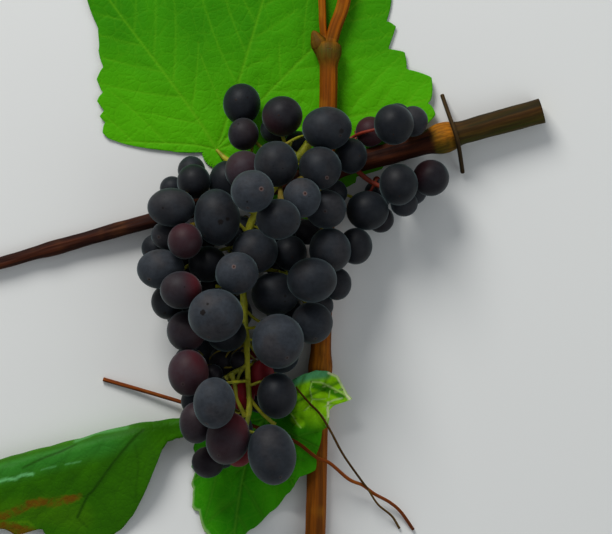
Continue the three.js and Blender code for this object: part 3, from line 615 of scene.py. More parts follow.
def stalk_finish():
    """Fresh yellow-green stalk with brown flecks, browner towards the berries, and red where it is ripe."""
    green = Finish("bunch_stalk_green")
    place = green.places()
    flecks = green.noise(place, 900.0, 3.0, 0.6)
    patches = green.noise(place, 160.0, 3.0, 0.5)
    colour = green.mix(patches.clamp(0.35, 0.7), (0.44, 0.43, 0.018), (0.18, 0.21, 0.010))
    colour = green.mix(flecks.clamp(0.55, 0.75) * 0.5, colour, (0.10, 0.055, 0.008))
    colour = green.mix(green.value("browning") * 0.8, colour, (0.10, 0.045, 0.012))
    ripe = green.mix(patches, (0.30, 0.008, 0.012), (0.10, 0.010, 0.008))
    colour = green.mix(green.value("ripe_red"), colour, ripe)
    return green.close({
        "Base Color": colour, "Roughness": flecks * 0.2 + 0.45, "Specular IOR Level": 0.3,
        "Normal": green.bump(flecks, 0.0001),
    })


def wart_finish():
    """Small corky warts, paler than the stalk that they stand on."""
    wart = Finish("stalk_warts")
    flecks = wart.noise(wart.places(), 1400.0, 2.0, 0.5)
    colour = wart.mix(flecks, (0.20, 0.13, 0.035), (0.36, 0.30, 0.09))
    return wart.close({"Base Color": colour, "Roughness": 0.7})


def bark_finish(name, dark, middle, light, roughness):
    """Bark whose fibres run along the limb. Its joints are stained and its cut ends show pale wood."""
    bark = Finish(name)
    grain = bark.value("grain", "Vector")
    fibres = bark.noise(bark.stretched(grain, (45.0, 900.0, 900.0)), 1.0, 4.0, 0.6)
    strips = bark.noise(bark.stretched(grain, (14.0, 330.0, 330.0)), 1.0, 3.0, 0.55)
    stains = bark.noise(grain, 75.0, 3.0, 0.5)
    cut = bark.value("cut_wood")
    colour = bark.mix(strips.clamp(0.38, 0.66), dark, middle)
    colour = bark.mix(stains.clamp(0.5, 0.78) * 0.5, colour, light)
    collar = bark.mix(stains.clamp(0.3, 0.7), (0.085, 0.066, 0.003), (0.42, 0.145, 0.005))
    colour = bark.mix(bark.value("paleness"), colour, collar)
    # An olive stain, which at the cane's collar also carries painted shade on the lower side.
    colour = bark.mix(bark.value("stain_and_shade"), colour, (0.046, 0.056, 0.004))
    colour = bark.mix(fibres.clamp(0.56, 0.42) * 0.4, colour, tuple(0.4 * c for c in dark))
    rays = bark.noise(grain, 1500.0, 2.0, 0.5)
    wood = bark.mix(rays, (0.42, 0.33, 0.17), (0.56, 0.48, 0.30))
    wood = bark.mix(cut.clamp(1.35, 1.6), wood, (0.17, 0.10, 0.05))
    colour = bark.mix(cut.clamp(0.4, 0.8), colour, wood)
    return bark.close({
        "Base Color": colour, "Roughness": fibres * 0.25 + roughness, "Specular IOR Level": 0.1,
        "Normal": bark.bump(fibres * 0.6 + strips * 0.4, 0.00045),
    })


def leaf_finish(name, tones, roughness, groove_shade, net_share):
    """A blade with a fine net between its veins, brown where it is hurt and pale in streaks and along edges.
    """
    leaf = Finish(name)
    plane = leaf.value("blade_place", "Vector")
    net = leaf.cells(plane, 420.0, "DISTANCE_TO_EDGE")
    wide_net = leaf.cells(plane, 150.0, "DISTANCE_TO_EDGE")
    mottle = leaf.noise(plane, 60.0, 4.0, 0.55)
    broad = leaf.noise(plane, 22.0, 2.0, 0.5)
    fine = leaf.noise(plane, 900.0, 3.0, 0.6)
    blotch = leaf.noise(plane, 330.0, 4.0, 0.65)
    patchy = mottle.clamp(0.3, 0.72) * 0.6 + broad.clamp(0.35, 0.65) * 0.4
    colour = leaf.mix(patchy, tones["shade"], tones["middle"])
    # The glow brings in the bright tone: painted light on the top leaf and on the centre leaf's lobe.
    colour = leaf.mix(leaf.value("glow"), colour, tones["bright"])
    # Bluish: a painted sheen, a reflection along the left leaf's fold, and a bluish band on the centre leaf's
    # lobe.
    colour = leaf.mix(leaf.value("bluish"), colour, tones["cool"])
    colour = leaf.mix(net.clamp(0.09, 0.02) * net_share * 0.5, colour, tones["vein"])
    colour = leaf.mix(wide_net.clamp(0.06, 0.01) * net_share, colour, tones["vein"])
    # Painted shade darkens a band along each sunk vein.
    colour = leaf.mix(leaf.value("groove_shade") * groove_shade, colour, tuple(0.45 * c for c in tones["shade"]))
    colour = leaf.mix(leaf.value("vein"), colour, tones["vein"])
    ragged = leaf.value("hurt") + (blotch - 0.5) * 1.5
    colour = leaf.mix(ragged.clamp(0.2, 0.7) * 0.85, colour, (0.11, 0.125, 0.002))
    brown = leaf.mix(fine, (0.13, 0.040, 0.001), (0.20, 0.10, 0.003))
    colour = leaf.mix(ragged.clamp(0.5, 0.95) * 0.85, colour, brown)
    # The pale tone: pale streaks and edges, and on the centre leaf also a painted highlight along the fold.
    pale_and_highlight = leaf.value("pale") * (blotch.clamp(0.2, 0.5) * 0.45 + 0.55)
    colour = leaf.mix(pale_and_highlight, colour, tones["pale_and_highlight"])
    colour = leaf.mix(leaf.value("underside") * 0.6, colour, (0.17, 0.27, 0.07))
    height = net.clamp(0.0, 0.2) * 0.35 + wide_net.clamp(0.0, 0.15) * 0.45 + fine * 0.25
    return leaf.close({
        "Base Color": colour, "Roughness": fine * 0.14 + roughness, "Specular IOR Level": 0.07,
        "Normal": leaf.bump(height, 0.00014),
    })


# The berries.


def berry_shape(place, half, lean, scar_axis, seed, rows, turns):
    """An egg with a flat foot at its stalk, a scar at the other end and a slightly uneven skin."""
    tight = [0, 0.03, 0.05, 0.075, 0.1, 0.15]
    angles = np.array(tight + list(np.linspace(0.24, math.pi - 0.1, rows)) + [math.pi])
    side = unit(np.cross(scar_axis, (0.3, 0.2, 0.93)))
    other = np.cross(scar_axis, side)
    turn = np.linspace(0, 2 * math.pi, turns, endpoint=False)
    ring = np.cos(turn)[:, None] * side + np.sin(turn)[:, None] * other
    inner = angles[1:-1]
    directions = np.cos(inner)[:, None, None] * scar_axis + np.sin(inner)[:, None, None] * ring
    directions = np.vstack([scar_axis[None], directions.reshape(-1, 3), -scar_axis[None]])
    theta = np.concatenate([[0], np.repeat(inner, turns), [math.pi]])
    own = np.column_stack([*turned(directions[:, 0], directions[:, 1], -lean), directions[:, 2]]) * half
    offset = np.column_stack([*turned(own[:, 0], own[:, 1], lean), own[:, 2]])
    uneven = 1 + UNEVEN_SKIN * lattice_noise(directions * 1.7 + seed * 5.3, 3)
    uneven -= hump(math.pi - theta, *FOOT_DIP)
    uneven -= hump(theta, *SCAR_DIP) - hump(theta, *SCAR_KNOB)
    return place + offset * uneven[:, None], ring_faces(len(inner), turns), theta, directions


class Berry:
    """A berry's place and half sizes, in millimetres, and the way that its scar faces."""

    def __init__(self, name, place, half, lean=0.0):
        self.name = name
        self.place = np.array(place, float)
        self.half = np.array(half, float)
        self.lean = math.radians(lean)
        self.seed = chance(self.place[0] * 0.37 + self.place[1] * 0.11)
        self.scar_axis = np.array((0, -1, 0), float)
        self.red = REDNESS.get(name, (0.0, 0.0, (1, 0)))
        self.bloom = OTHER_BLOOM[0] + OTHER_BLOOM[1] * self.seed
        if name in DARK_BERRIES:
            self.bloom = DARK_BLOOM
        elif name in PALE_BERRIES:
            self.bloom = PALE_BLOOM

    def reach(self, direction):
        """How far the skin is from the middle, that way."""
        return 1 / np.linalg.norm(np.asarray(direction) / self.half, axis=-1)


def berry_from_node(name):
    """The berry that fills the box of its own solid."""
    low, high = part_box(name)
    middle = np.array(((low + high) / 2).to_tuple()) / MM - (SHIFT[0], SHIFT[1], 0)
    half = np.array(((high - low) / 2).to_tuple()) / MM
    if name in LEANING:
        width, length, lean = LEANING[name]
        return Berry(name, middle, (width / 2, length / 2, min(width, length) / 2), lean)
    return Berry(name, middle, half)


def fused_berries(node, rows):
    """Berries that are part of a stalk's node. Their height is that of the vertices round their middle."""
    same_place = 0.03
    points = node_points(node)
    made = []
    for x, y, width, length in rows:
        half = (width / 2, length / 2, min(width, length) / 2)
        level_places = np.array([(x + half[0], y), (x - half[0], y), (x, y + half[1]), (x, y - half[1])])
        apart = np.linalg.norm(points[None, :, :2] - level_places[:, None], axis=2)
        found = points[np.unique(np.argwhere(apart < same_place)[:, 1])]
        made.append(Berry(f"{node}_{x}_{y}", (x, y, np.median(found[:, 2])), half))
        made[-1].red = (RED_SMALL.get((x, y), 0.0), 0.0, (1, 0))
    return made


def tucked_berry(x, y, width, others):
    """A berry at the lowest height at which it barely presses on the others."""
    radius = width / 2
    height = radius

    def presses(other):
        apart = np.array((x, y, height)) - other.place
        return np.linalg.norm(apart / (other.half + radius)) < GIVE

    while any(presses(other) for other in others):
        height += TUCK_STEP
    berry = Berry(f"tucked_{x}_{y}", (x, y, height), (radius, radius, radius))
    berry.bloom = 0.0
    berry.red = (TUCKED_RED, 0.0, (1, 0))
    return berry


def hidden_rows():
    """The places and sizes of the berries of the lower layer."""
    rows = []
    for row, (y, left, right) in enumerate(HIDDEN_ROWS):
        count = math.floor((right - left) / HIDDEN_SPACING) + 1
        for i in range(count):
            seed = row * 10 + i
            x = left + (right - left) * (i / (count - 1) if count > 1 else 0.5)
            aside = HIDDEN_WOBBLE * (chance(seed) - 0.5)
            up = HIDDEN_WOBBLE * (chance(seed + 0.5) - 0.5)
            rows.append((x + aside, y + up, HIDDEN_WIDTH, HIDDEN_WIDTH))
    return rows


def berries_piece(name, berries, material, rows=26, turns=44):
    """Berries in one mesh, which holds each one's bloom and redness and the angle from its scar."""
    points, faces, scars, reds, shades = [], [], [], [], []
    count = 0
    for berry in berries:
        place, own_faces, theta, directions = berry_shape(
            berry.place, berry.half, berry.lean, berry.scar_axis, berry.seed, rows, turns)
        points.append(place)
        faces += [tuple(count + i for i in face) for face in own_faces]
        scars.append(theta * berry.half.mean() / SCAR_SIZE)
        base, more, side = berry.red
        towards = directions[:, :2] @ unit(side)
        reds.append(base + more * smooth_step(-0.1, 1.0, towards))
        shades.append(np.full(len(theta), berry.bloom))
        count += len(place)
    values = {
        "scar_angle": np.concatenate(scars), "redness": np.concatenate(reds),
        "own_shade": np.concatenate(shades),
    }
    return piece_of(name, np.vstack(points), faces, material, values)


# The stalks. Each berry's own stalk grows from the nearest place on what has grown before it.


def bent_path(start, start_way, end, end_way):
    """A smooth bend of twelve points that leaves one way and arrives another."""
    reach = np.linalg.norm(end - start)
    t = np.linspace(0, 1, 12)[:, None]
    a, b = start_way * reach * 0.9, end_way * reach * 0.9
    return ((2 * t**3 - 3 * t**2 + 1) * start + (t**3 - 2 * t**2 + t) * a
            + (3 * t**2 - 2 * t**3) * end + (t**3 - t**2) * b)


def pushed_clear(path, berries, own, room):
    """Bends a path's inner points down and out of the berries that show, and keeps it smooth."""
    path = path.copy()
    near = [
        b for b in berries
        if b is not own and np.min(np.linalg.norm(path - b.place, axis=1)) < PUSHED_WITHIN
    ]
    highest = np.linspace(path[0, 2], path[-1, 2], len(path)) + STALK_ARCH
    for _ in range(PUSHES):
        path[1:-1] = 0.5 * path[1:-1] + 0.25 * (path[:-2] + path[2:])
        for berry in near:
            off = (path - berry.place) / (berry.half + room)
            deep = np.linalg.norm(off, axis=1)
            inside = deep < 1
            inside[[0, -1]] = False
            if inside.any():
                out = off[inside] - (0, 0, PUSHED_DOWN)
                out = out / np.maximum(np.linalg.norm(out, axis=1, keepdims=True), 1e-6)
                path[inside] = berry.place + out * (berry.half + room)
        path[:, 2] = np.maximum(np.minimum(path[:, 2], highest), room)
    return path


def berry_stalks(berries, shown, trunks):
    """One stalk for each berry, the nearest first. The berry's scar then faces away from its stalk."""
    tree = np.vstack(trunks)
    ways = np.vstack([unit(np.gradient(t, axis=0)) for t in trunks])
    left = list(berries)
    made = []
    while left:
        gaps = [np.min(np.linalg.norm(tree - b.place, axis=1)) - b.half.mean() for b in left]
        berry = left.pop(int(np.argmin(gaps)))
        if berry.place[1] < TOP_OF_BUNCH:
            share, spare = ROOT_ABOVE
            aside = share * np.maximum(0, berry.place[1] + berry.half[1] + spare - tree[:, 1])
        else:
            share, spare = ROOT_BELOW
            aside = share * np.maximum(0, tree[:, 1] - berry.place[1] + spare)
        nearest = int(np.argmin(np.linalg.norm(tree - berry.place, axis=1) + aside))
        root = tree[nearest]
        outward = unit(berry.place - root)
        hang = np.array((0.0, -0.6, 0.15 + 0.5 * berry.seed))
        berry.scar_axis = unit(outward * (0.75, 0.75, 0.35) + hang)
        foot = berry.place - berry.scar_axis * berry.reach(berry.scar_axis) * 0.95
        start_way = unit(ways[nearest] * 0.5 + outward)
        path = bent_path(root, start_way, foot, berry.scar_axis)
        path = pushed_clear(path, shown, berry, STALK_ROOM)
        path[:, 2] = np.maximum(path[:, 2], LOWEST_STALK)
        made.append(path)
        if np.linalg.norm(foot - root) > CARRYING_LENGTH:
            tree = np.vstack([tree, path[2:9]])
            ways = np.vstack([ways, unit(np.gradient(path, axis=0))[2:9]])
    return made


def stalk_radii(path):
    """A berry's stalk: a knob where it leaves, thin between, and a wide seat under the berry."""
    share = np.linspace(0, 1, len(path))
    return BERRY_STALK_RADIUS * (1 + hump(share, *STALK_KNOB)) + hump(1 - share, *STALK_SEAT)


def empty_tree(name, **inputs):
    """A Geometry Nodes tree without nodes, with a named input for each number that it takes."""
    tree = bpy.data.node_groups.new(name, "GeometryNodeTree")
    tree.interface.new_socket("Geometry", in_out="INPUT", socket_type="NodeSocketGeometry")
    for key, value in inputs.items():
        kind = "NodeSocketInt" if isinstance(value, int) else "NodeSocketFloat"
        tree.interface.new_socket(key, in_out="INPUT", socket_type=kind).default_value = value
    tree.interface.new_socket("Geometry", in_out="OUTPUT", socket_type="NodeSocketGeometry")
    return tree


def tube_maker(material):
    """Geometry Nodes: a tube along each line of a mesh, as thick as its points say, with filled ends."""
    tree = empty_tree("tubes_along_lines", Sides=12, Thickness=1.0)
    add = tree.nodes.new
    given, result = add("NodeGroupInput"), add("NodeGroupOutput")
    to_curve, circle = add("GeometryNodeMeshToCurve"), add("GeometryNodeCurvePrimitiveCircle")
    thickness, times = add("GeometryNodeInputNamedAttribute"), add("ShaderNodeMath")
    to_mesh, smooth = add("GeometryNodeCurveToMesh"), add("GeometryNodeSetShadeSmooth")
    realize, paint = add("GeometryNodeRealizeInstances"), add("GeometryNodeSetMaterial")
    thickness.data_type = "FLOAT"
    thickness.inputs["Name"].default_value = "thickness"
    times.operation = "MULTIPLY"
    circle.inputs["Radius"].default_value = 1.0
    to_mesh.inputs["Fill Caps"].default_value = True
    paint.inputs["Material"].default_value = material
    link = tree.links.new
    link(given.outputs["Geometry"], to_curve.inputs["Mesh"])
    link(thickness.outputs["Attribute"], times.inputs[0])
    link(given.outputs["Thickness"], times.inputs[1])
    link(times.outputs["Value"], to_mesh.inputs["Scale"])
    link(given.outputs["Sides"], circle.inputs["Resolution"])
    link(to_curve.outputs["Curve"], to_mesh.inputs["Curve"])
    link(circle.outputs["Curve"], to_mesh.inputs["Profile Curve"])
    link(to_mesh.outputs["Mesh"], smooth.inputs["Geometry"])
    link(smooth.outputs["Geometry"], realize.inputs["Geometry"])
    link(realize.outputs["Geometry"], paint.inputs["Geometry"])
    link(paint.outputs["Geometry"], result.inputs["Geometry"])
    return tree


def wart_maker(material):
    """Geometry Nodes: small low warts dealt over a surface by a fixed seed."""
    tree = empty_tree("warts_on_surface", **WARTS)
    add = tree.nodes.new
    given, result = add("NodeGroupInput"), add("NodeGroupOutput")
    deal, ball = add("GeometryNodeDistributePointsOnFaces"), add("GeometryNodeMeshIcoSphere")
    copy, size = add("GeometryNodeInstanceOnPoints"), add("FunctionNodeRandomValue")
    realize, smooth = add("GeometryNodeRealizeInstances"), add("GeometryNodeSetShadeSmooth")
    paint = add("GeometryNodeSetMaterial")
    size.data_type = "FLOAT"
    ball.inputs["Radius"].default_value = 1.0
    ball.inputs["Subdivisions"].default_value = 1
    paint.inputs["Material"].default_value = material
    link = tree.links.new
    link(given.outputs["Geometry"], deal.inputs["Mesh"])
    link(given.outputs["Density"], deal.inputs["Density"])
    link(given.outputs["Seed"], deal.inputs["Seed"])
    link(deal.outputs["Points"], copy.inputs["Points"])
    link(ball.outputs["Mesh"], copy.inputs["Instance"])
    link(given.outputs["Smallest"], size.inputs[2])
    link(given.outputs["Largest"], size.inputs[3])
    link(given.outputs["Seed"], size.inputs["Seed"])
    link(size.outputs[1], copy.inputs["Scale"])
    link(copy.outputs["Instances"], realize.inputs["Geometry"])
    link(realize.outputs["Geometry"], smooth.inputs["Geometry"])
    link(smooth.outputs["Geometry"], paint.inputs["Geometry"])
    link(paint.outputs["Geometry"], result.inputs["Geometry"])
    return tree


def made_by_nodes(name, source, tree, **sizes):
    """Runs a node tree on a mesh and keeps the result as a plain mesh."""
    carrier = bpy.data.objects.new(name + "_source", source)
    bpy.context.scene.collection.objects.link(carrier)
    modifier = carrier.modifiers.new("maker", "NODES")
    modifier.node_group = tree
    for item in tree.interface.items_tree:
        if item.in_out == "INPUT" and item.name in sizes:
            modifier[item.identifier] = sizes[item.name]
    evaluated = carrier.evaluated_get(bpy.context.evaluated_depsgraph_get())
    mesh = bpy.data.meshes.new_from_object(evaluated)
    mesh.name = name
    bpy.data.objects.remove(carrier)
    made = bpy.data.objects.new(name, mesh)
    bpy.context.scene.collection.objects.link(made)
    return made


def line_mesh(name, paths, radii, values):
    """Paths as lines of edges, whose points hold the limb's thickness in metres."""
    points = to_frame(np.vstack(paths))
    edges = []
    start = 0
    for path in paths:
        edges += [(start + i, start + i + 1) for i in range(len(path) - 1)]
        start += len(path)
    mesh = bpy.data.meshes.new(name)
    mesh.from_pydata(points.tolist(), edges, [])
    fields = {"thickness": np.concatenate(radii) * MM, **values}
    for key, value in fields.items():
        mesh.attributes.new(key, "FLOAT", "POINT").data.foreach_set("value", np.asarray(value, np.float32))
    return mesh


# Limbs with bark relief.


def limb_shape(path, radii, sides, relief):
    """A closed round limb. relief gives, in millimetres, how far the bark stands out at each place.

    It also gives each point's place along and across the limb, and cut: 0 on the bark, over 1 on the ends.
    """
    way = unit(np.gradient(path, axis=0))
    side = np.zeros_like(path)
    side[0] = unit(np.cross(way[0], (0.1, 0.2, 1.0)))
    for i in range(1, len(path)):
        side[i] = unit(side[i - 1] - way[i] * np.dot(side[i - 1], way[i]))
    other = np.cross(way, side)
    turn = np.linspace(0, 2 * math.pi, sides, endpoint=False)
    along = np.concatenate([[0], np.cumsum(np.linalg.norm(np.diff(path, axis=0), axis=1))])
    out = np.cos(turn)[None, :, None] * side[:, None] + np.sin(turn)[None, :, None] * other[:, None]
    depth = relief(np.repeat(along, sides), np.tile(turn, len(path))).reshape(len(path), sides)
    reach = radii[:, None] + depth
    skin = path[:, None] + out * reach[:, :, None]
    caps = (0.96, 0.6, 0.25)
    rings = [path[0] + (skin[0] - path[0]) * share for share in caps[::-1]] + list(skin)
    rings += [path[-1] + (skin[-1] - path[-1]) * share for share in caps]
    shares = list(caps[::-1]) + [1.0] * len(path) + list(caps)
    alongs = [along[0]] * 3 + list(along) + [along[-1]] * 3
    spans = [radii[0]] * 3 + list(radii) + [radii[-1]] * 3
    points = np.vstack([path[0][None], *rings, path[-1][None]])
    places = [np.array([[along[0], 0, 0]])]
    for at, share, span in zip(alongs, shares, spans):
        across = np.cos(turn) * share * span
        upward = np.sin(turn) * share * span
        places.append(np.column_stack([np.full(sides, at), across, upward]))
    places.append(np.array([[along[-1], 0, 0]]))
    cut = np.repeat([0.0 if share == 1 else 1.8 - 0.8 * share for share in shares], sides)
    cut = np.concatenate([[1.8], cut, [1.8]])
    faces = [face[:1] + face[:0:-1] for face in ring_faces(len(rings), sides)]
    return points, faces, np.vstack(places), cut


def bark_relief(depth, seed, ridge_count):
    """Long shallow ridges that wander a little, with finer fibres on them."""
    def relief(along, turn):
        wander = 0.35 * lattice_noise(np.column_stack([along / 22, np.cos(turn), np.sin(turn)]), seed)
        angle = turn + wander
        coarse = np.column_stack([
            along / 26, np.cos(angle) * ridge_count / 6, np.sin(angle) * ridge_count / 6])
        fine = np.column_stack([
            along / 9, np.cos(angle) * ridge_count / 2.4, np.sin(angle) * ridge_count / 2.4])
        lumps = np.column_stack([along / 6, np.cos(turn) * 1.2, np.sin(turn) * 1.2])
        return depth * (0.55 * lattice_noise(coarse, seed + 1) + 0.35 * lattice_noise(fine, seed + 2)
                        + 0.25 * lattice_noise(lumps, seed + 3))
    return relief


def bark_piece(name, path, radii, sides, relief, material, paleness=None, stain_and_shade=None):
    """A limb with its bark. The last two give, for points, how pale the bark is there and how much stain and
    painted shade it has.
    """
    points, faces, places, cut = limb_shape(path, radii, sides, relief)
    points[:, 2] = np.maximum(points[:, 2], LOWEST_BARK)
    none = np.zeros(len(points))
    return piece_of(name, points, faces, material, {
        "grain": places * MM, "cut_wood": cut,
        "paleness": none if paleness is None else paleness(points),
        "stain_and_shade": none if stain_and_shade is None else stain_and_shade(points),
    })


def bud_piece(name, place, way, length, width, material, stain_and_shade):
    """A blunt bud in scales. Its foot is sunk in the limb."""
    steps = np.linspace(0, 1, 30)
    bulge = (0.8 + 0.35 * np.sin(np.pi * steps ** 0.8)) * (1 - steps ** 4) ** 0.6
    bulge *= 1 + 0.03 * np.sign(np.sin(steps * 13 + 0.6))
    path = np.asarray(place, float) + (steps[:, None] * length - 0.3 * length) * unit(way)
    radii = np.maximum(width / 2 * bulge, 0.12)
    return bark_piece(name, path, radii, 28, bark_relief(0.12, 71, 10), material, stain_and_shade=stain_and_shade)


def join(name, pieces):
    """Several pieces as one."""
    bpy.ops.object.select_all(action="DESELECT")
    for piece in pieces:
        piece.select_set(True)
    bpy.context.view_layer.objects.active = pieces[0]
    bpy.ops.object.join()
    pieces[0].name = name
    pieces[0].data.name = name
    return pieces[0]


# The leaves.


def edge_reach(leaf, degrees, toothed=True):
    """How far the edge is from the foot at each angle."""
    places = sorted(leaf["outline"])
    angles = np.array([p[0] for p in places] + [places[0][0] + 360], float)
    reaches = np.array([p[1] for p in places] + [places[0][1]], float)
    turn = (np.asarray(degrees, float) - angles[0]) % 360 + angles[0]
    after = np.clip(np.searchsorted(angles, turn), 1, len(angles) - 1)
    share = (turn - angles[after - 1]) / (angles[after] - angles[after - 1])
    eased = 0.5 * share + 0.5 * smooth_step(0, 1, share)
    plain = reaches[after - 1] + (reaches[after] - reaches[after - 1]) * eased
    if not toothed:
        return plain
    widths = np.array([0.6 + 0.8 * chance(i * 3.7 + leaf["teeth"]) for i in range(leaf["teeth"])])
    bounds = np.concatenate([[0], np.cumsum(widths)]) / widths.sum() * 360
    place = (turn - angles[0]) % 360
    tooth = np.clip(np.searchsorted(bounds, place) - 1, 0, leaf["teeth"] - 1)
    within = (place - bounds[tooth]) / (bounds[tooth + 1] - bounds[tooth])
    peak = 0.6
    rise = np.where(within < peak, within / peak, (1 - within) / (1 - peak)) ** 0.8
    size = 0.5 + widths[tooth] / 1.6
    depth = leaf["tooth_depth"]
    if "calm" in leaf:
        start, end = leaf["calm"]
        signed = (np.asarray(degrees, float) + 180) % 360 - 180
        calm = smooth_step(start - 5, start + 5, signed) * smooth_step(end + 5, end - 5, signed)
        depth = depth * (1 - calm)
    return plain * (1 + depth * (rise * size - 0.8))


def vein_lines(leaf):
    """Main veins from the foot, and side veins that leave them by turns and stop half-way to the next."""
    lines = [
        (along_curve(places, 1.5) - leaf["foot"], width, width * 0.8, weight)
        for width, weight, places in leaf.get("drawn", [])
    ]
    soft = leaf.get("soft", 1.0)
    mains = sorted(leaf["veins"])
    headings = [m[0] for m in mains]
    for index, (degrees, length, bend, fade) in enumerate(mains):
        before = headings[index - 1] - (360 if index == 0 else 0)
        after = headings[(index + 1) % len(mains)] + (360 if index == len(mains) - 1 else 0)
        limits = ((degrees + before) / 2, (degrees + after) / 2)
        steps = np.arange(0, length + 2, 2.0)
        turns = np.radians(degrees + bend * np.exp(-steps / fade))
        line = np.column_stack([steps * np.cos(turns), steps * np.sin(turns)])
        lines.append((line, MAIN_VEIN[0] * (length / LONG_VEIN) ** 0.3, MAIN_VEIN[1], soft))
        first = SIDE_VEINS["first"] + 2 * (index % 2)
        for k, start in enumerate(np.arange(first, length * 0.93, SIDE_VEINS["spacing"])):
            side = 1 if k % 2 else -1
            at = np.array([np.interp(start, steps, line[:, 0]), np.interp(start, steps, line[:, 1])])
            varied = SIDE_VEINS["varies"] * (chance(index * 9 + k) - 0.5)
            heading = degrees + side * (SIDE_VEINS["angle"] - SIDE_VEINS["closing"] * start / length + varied)
            branch = [at]
            for _ in range(40):
                heading -= side * 0.9
                way = math.radians(heading)
                at = at + 2.5 * np.array([math.cos(way), math.sin(way)])
                angle = math.degrees(math.atan2(at[1], at[0]))
                angle = degrees + (angle - degrees + 180) % 360 - 180
                if not limits[0] < angle < limits[1]:
                    break
                branch.append(at)
                if np.hypot(*at) > 0.97 * edge_reach(leaf, angle, False):
                    break
            if len(branch) > 2:
                lines.append((np.array(branch), *SIDE_VEIN, SIDE_VEIN_STRENGTH * soft))
    return lines


def vein_field(leaf, points):
    """How strongly a vein shows at each place, its wider band of painted shade, and how far the nearest vein
    is.
    """
    strength = np.zeros(len(points))
    groove_shade = np.zeros(len(points))
    nearest = np.full(len(points), FAR)
    for line, wide, narrow, weight in vein_lines(leaf):
        close = (points >= line.min(0) - 8).all(1) & (points <= line.max(0) + 8).all(1)
        own = points[close]
        best = np.full(len(own), FAR)
        width = np.full(len(own), wide)
        for i, (a, b) in enumerate(zip(line, line[1:])):
            way = b - a
            share = np.clip(((own - a) @ way) / (way @ way), 0, 1)
            gap = np.linalg.norm(own - a - share[:, None] * way, axis=1)
            nearer = gap < best
            best[nearer] = gap[nearer]
            width[nearer] = wide + (narrow - wide) * i / len(line)
        strength[close] = np.maximum(strength[close], hump(best, weight, width))
        # The wider band is where painted shade falls along the vein.
        groove_shade[close] = np.maximum(groove_shade[close], hump(best, weight, width * 2.4))
        nearest[close] = np.minimum(nearest[close], best)
    return strength, groove_shade, nearest


def edge_wave(waves, u, v):
    """How far the blade lifts in waves, which grow towards its edge."""
    count, phase, height, distance = waves
    return height * (1 + np.sin(count * np.arctan2(v, u) + phase)) * (np.hypot(u, v) / distance) ** 2


# How each leaf lies. u runs from the foot along the midrib and v across it, to the left.


def top_leaf_lie(u, v):
    return np.column_stack([u, v, FLAT + edge_wave(TOP_WAVES, u, v)])


def centre_leaf_lie(u, v):
    x = CENTRE_LEAF["foot"][0] + turned(u, v, math.radians(CENTRE_LEAF["midrib"]))[0]
    over = smooth_step(LIFT["from"], LIFT["to"], x)
    return np.column_stack([u, v, FLAT + edge_wave(CENTRE_WAVES, u, v) * (1 - over) + LIFT["height"] * over])


def left_leaf_lie(u, v):
    radius = CURL["tightest"] + (CURL["widest"] - CURL["tightest"]) * smooth_step(CURL["from"], CURL["to"], u)
    ridge = FLAT + 2 * radius
    shown = ridge - (ridge - FLAT) * smooth_step(0, CURL["droop"], v)
    turn = np.minimum(np.maximum(-v, 0) / radius, CURL["turn"])
    beyond = np.maximum(-v - turn * radius, 0)
    across = -radius * np.sin(turn) - beyond * np.cos(turn)
    under = np.maximum(FLAT, ridge - radius * (1 - np.cos(turn)) - beyond * np.sin(turn))
    return np.column_stack([u, np.where(v >= 0, v, across), np.where(v >= 0, shown, under)])


def blade_points(leaf, lie, u, v, offset):
    """Places on the leaf as it lies, moved off its middle face by the offset."""
    nudge = 0.25
    du = lie(u + nudge, v) - lie(u - nudge, v)
    dv = lie(u, v + nudge) - lie(u, v - nudge)
    place = lie(u, v) + unit(np.cross(du, dv)) * offset[:, None]
    x, y = turned(place[:, 0], place[:, 1], math.radians(leaf["midrib"]))
    return np.column_stack([leaf["foot"][0] + x, leaf["foot"][1] + y, place[:, 2]])


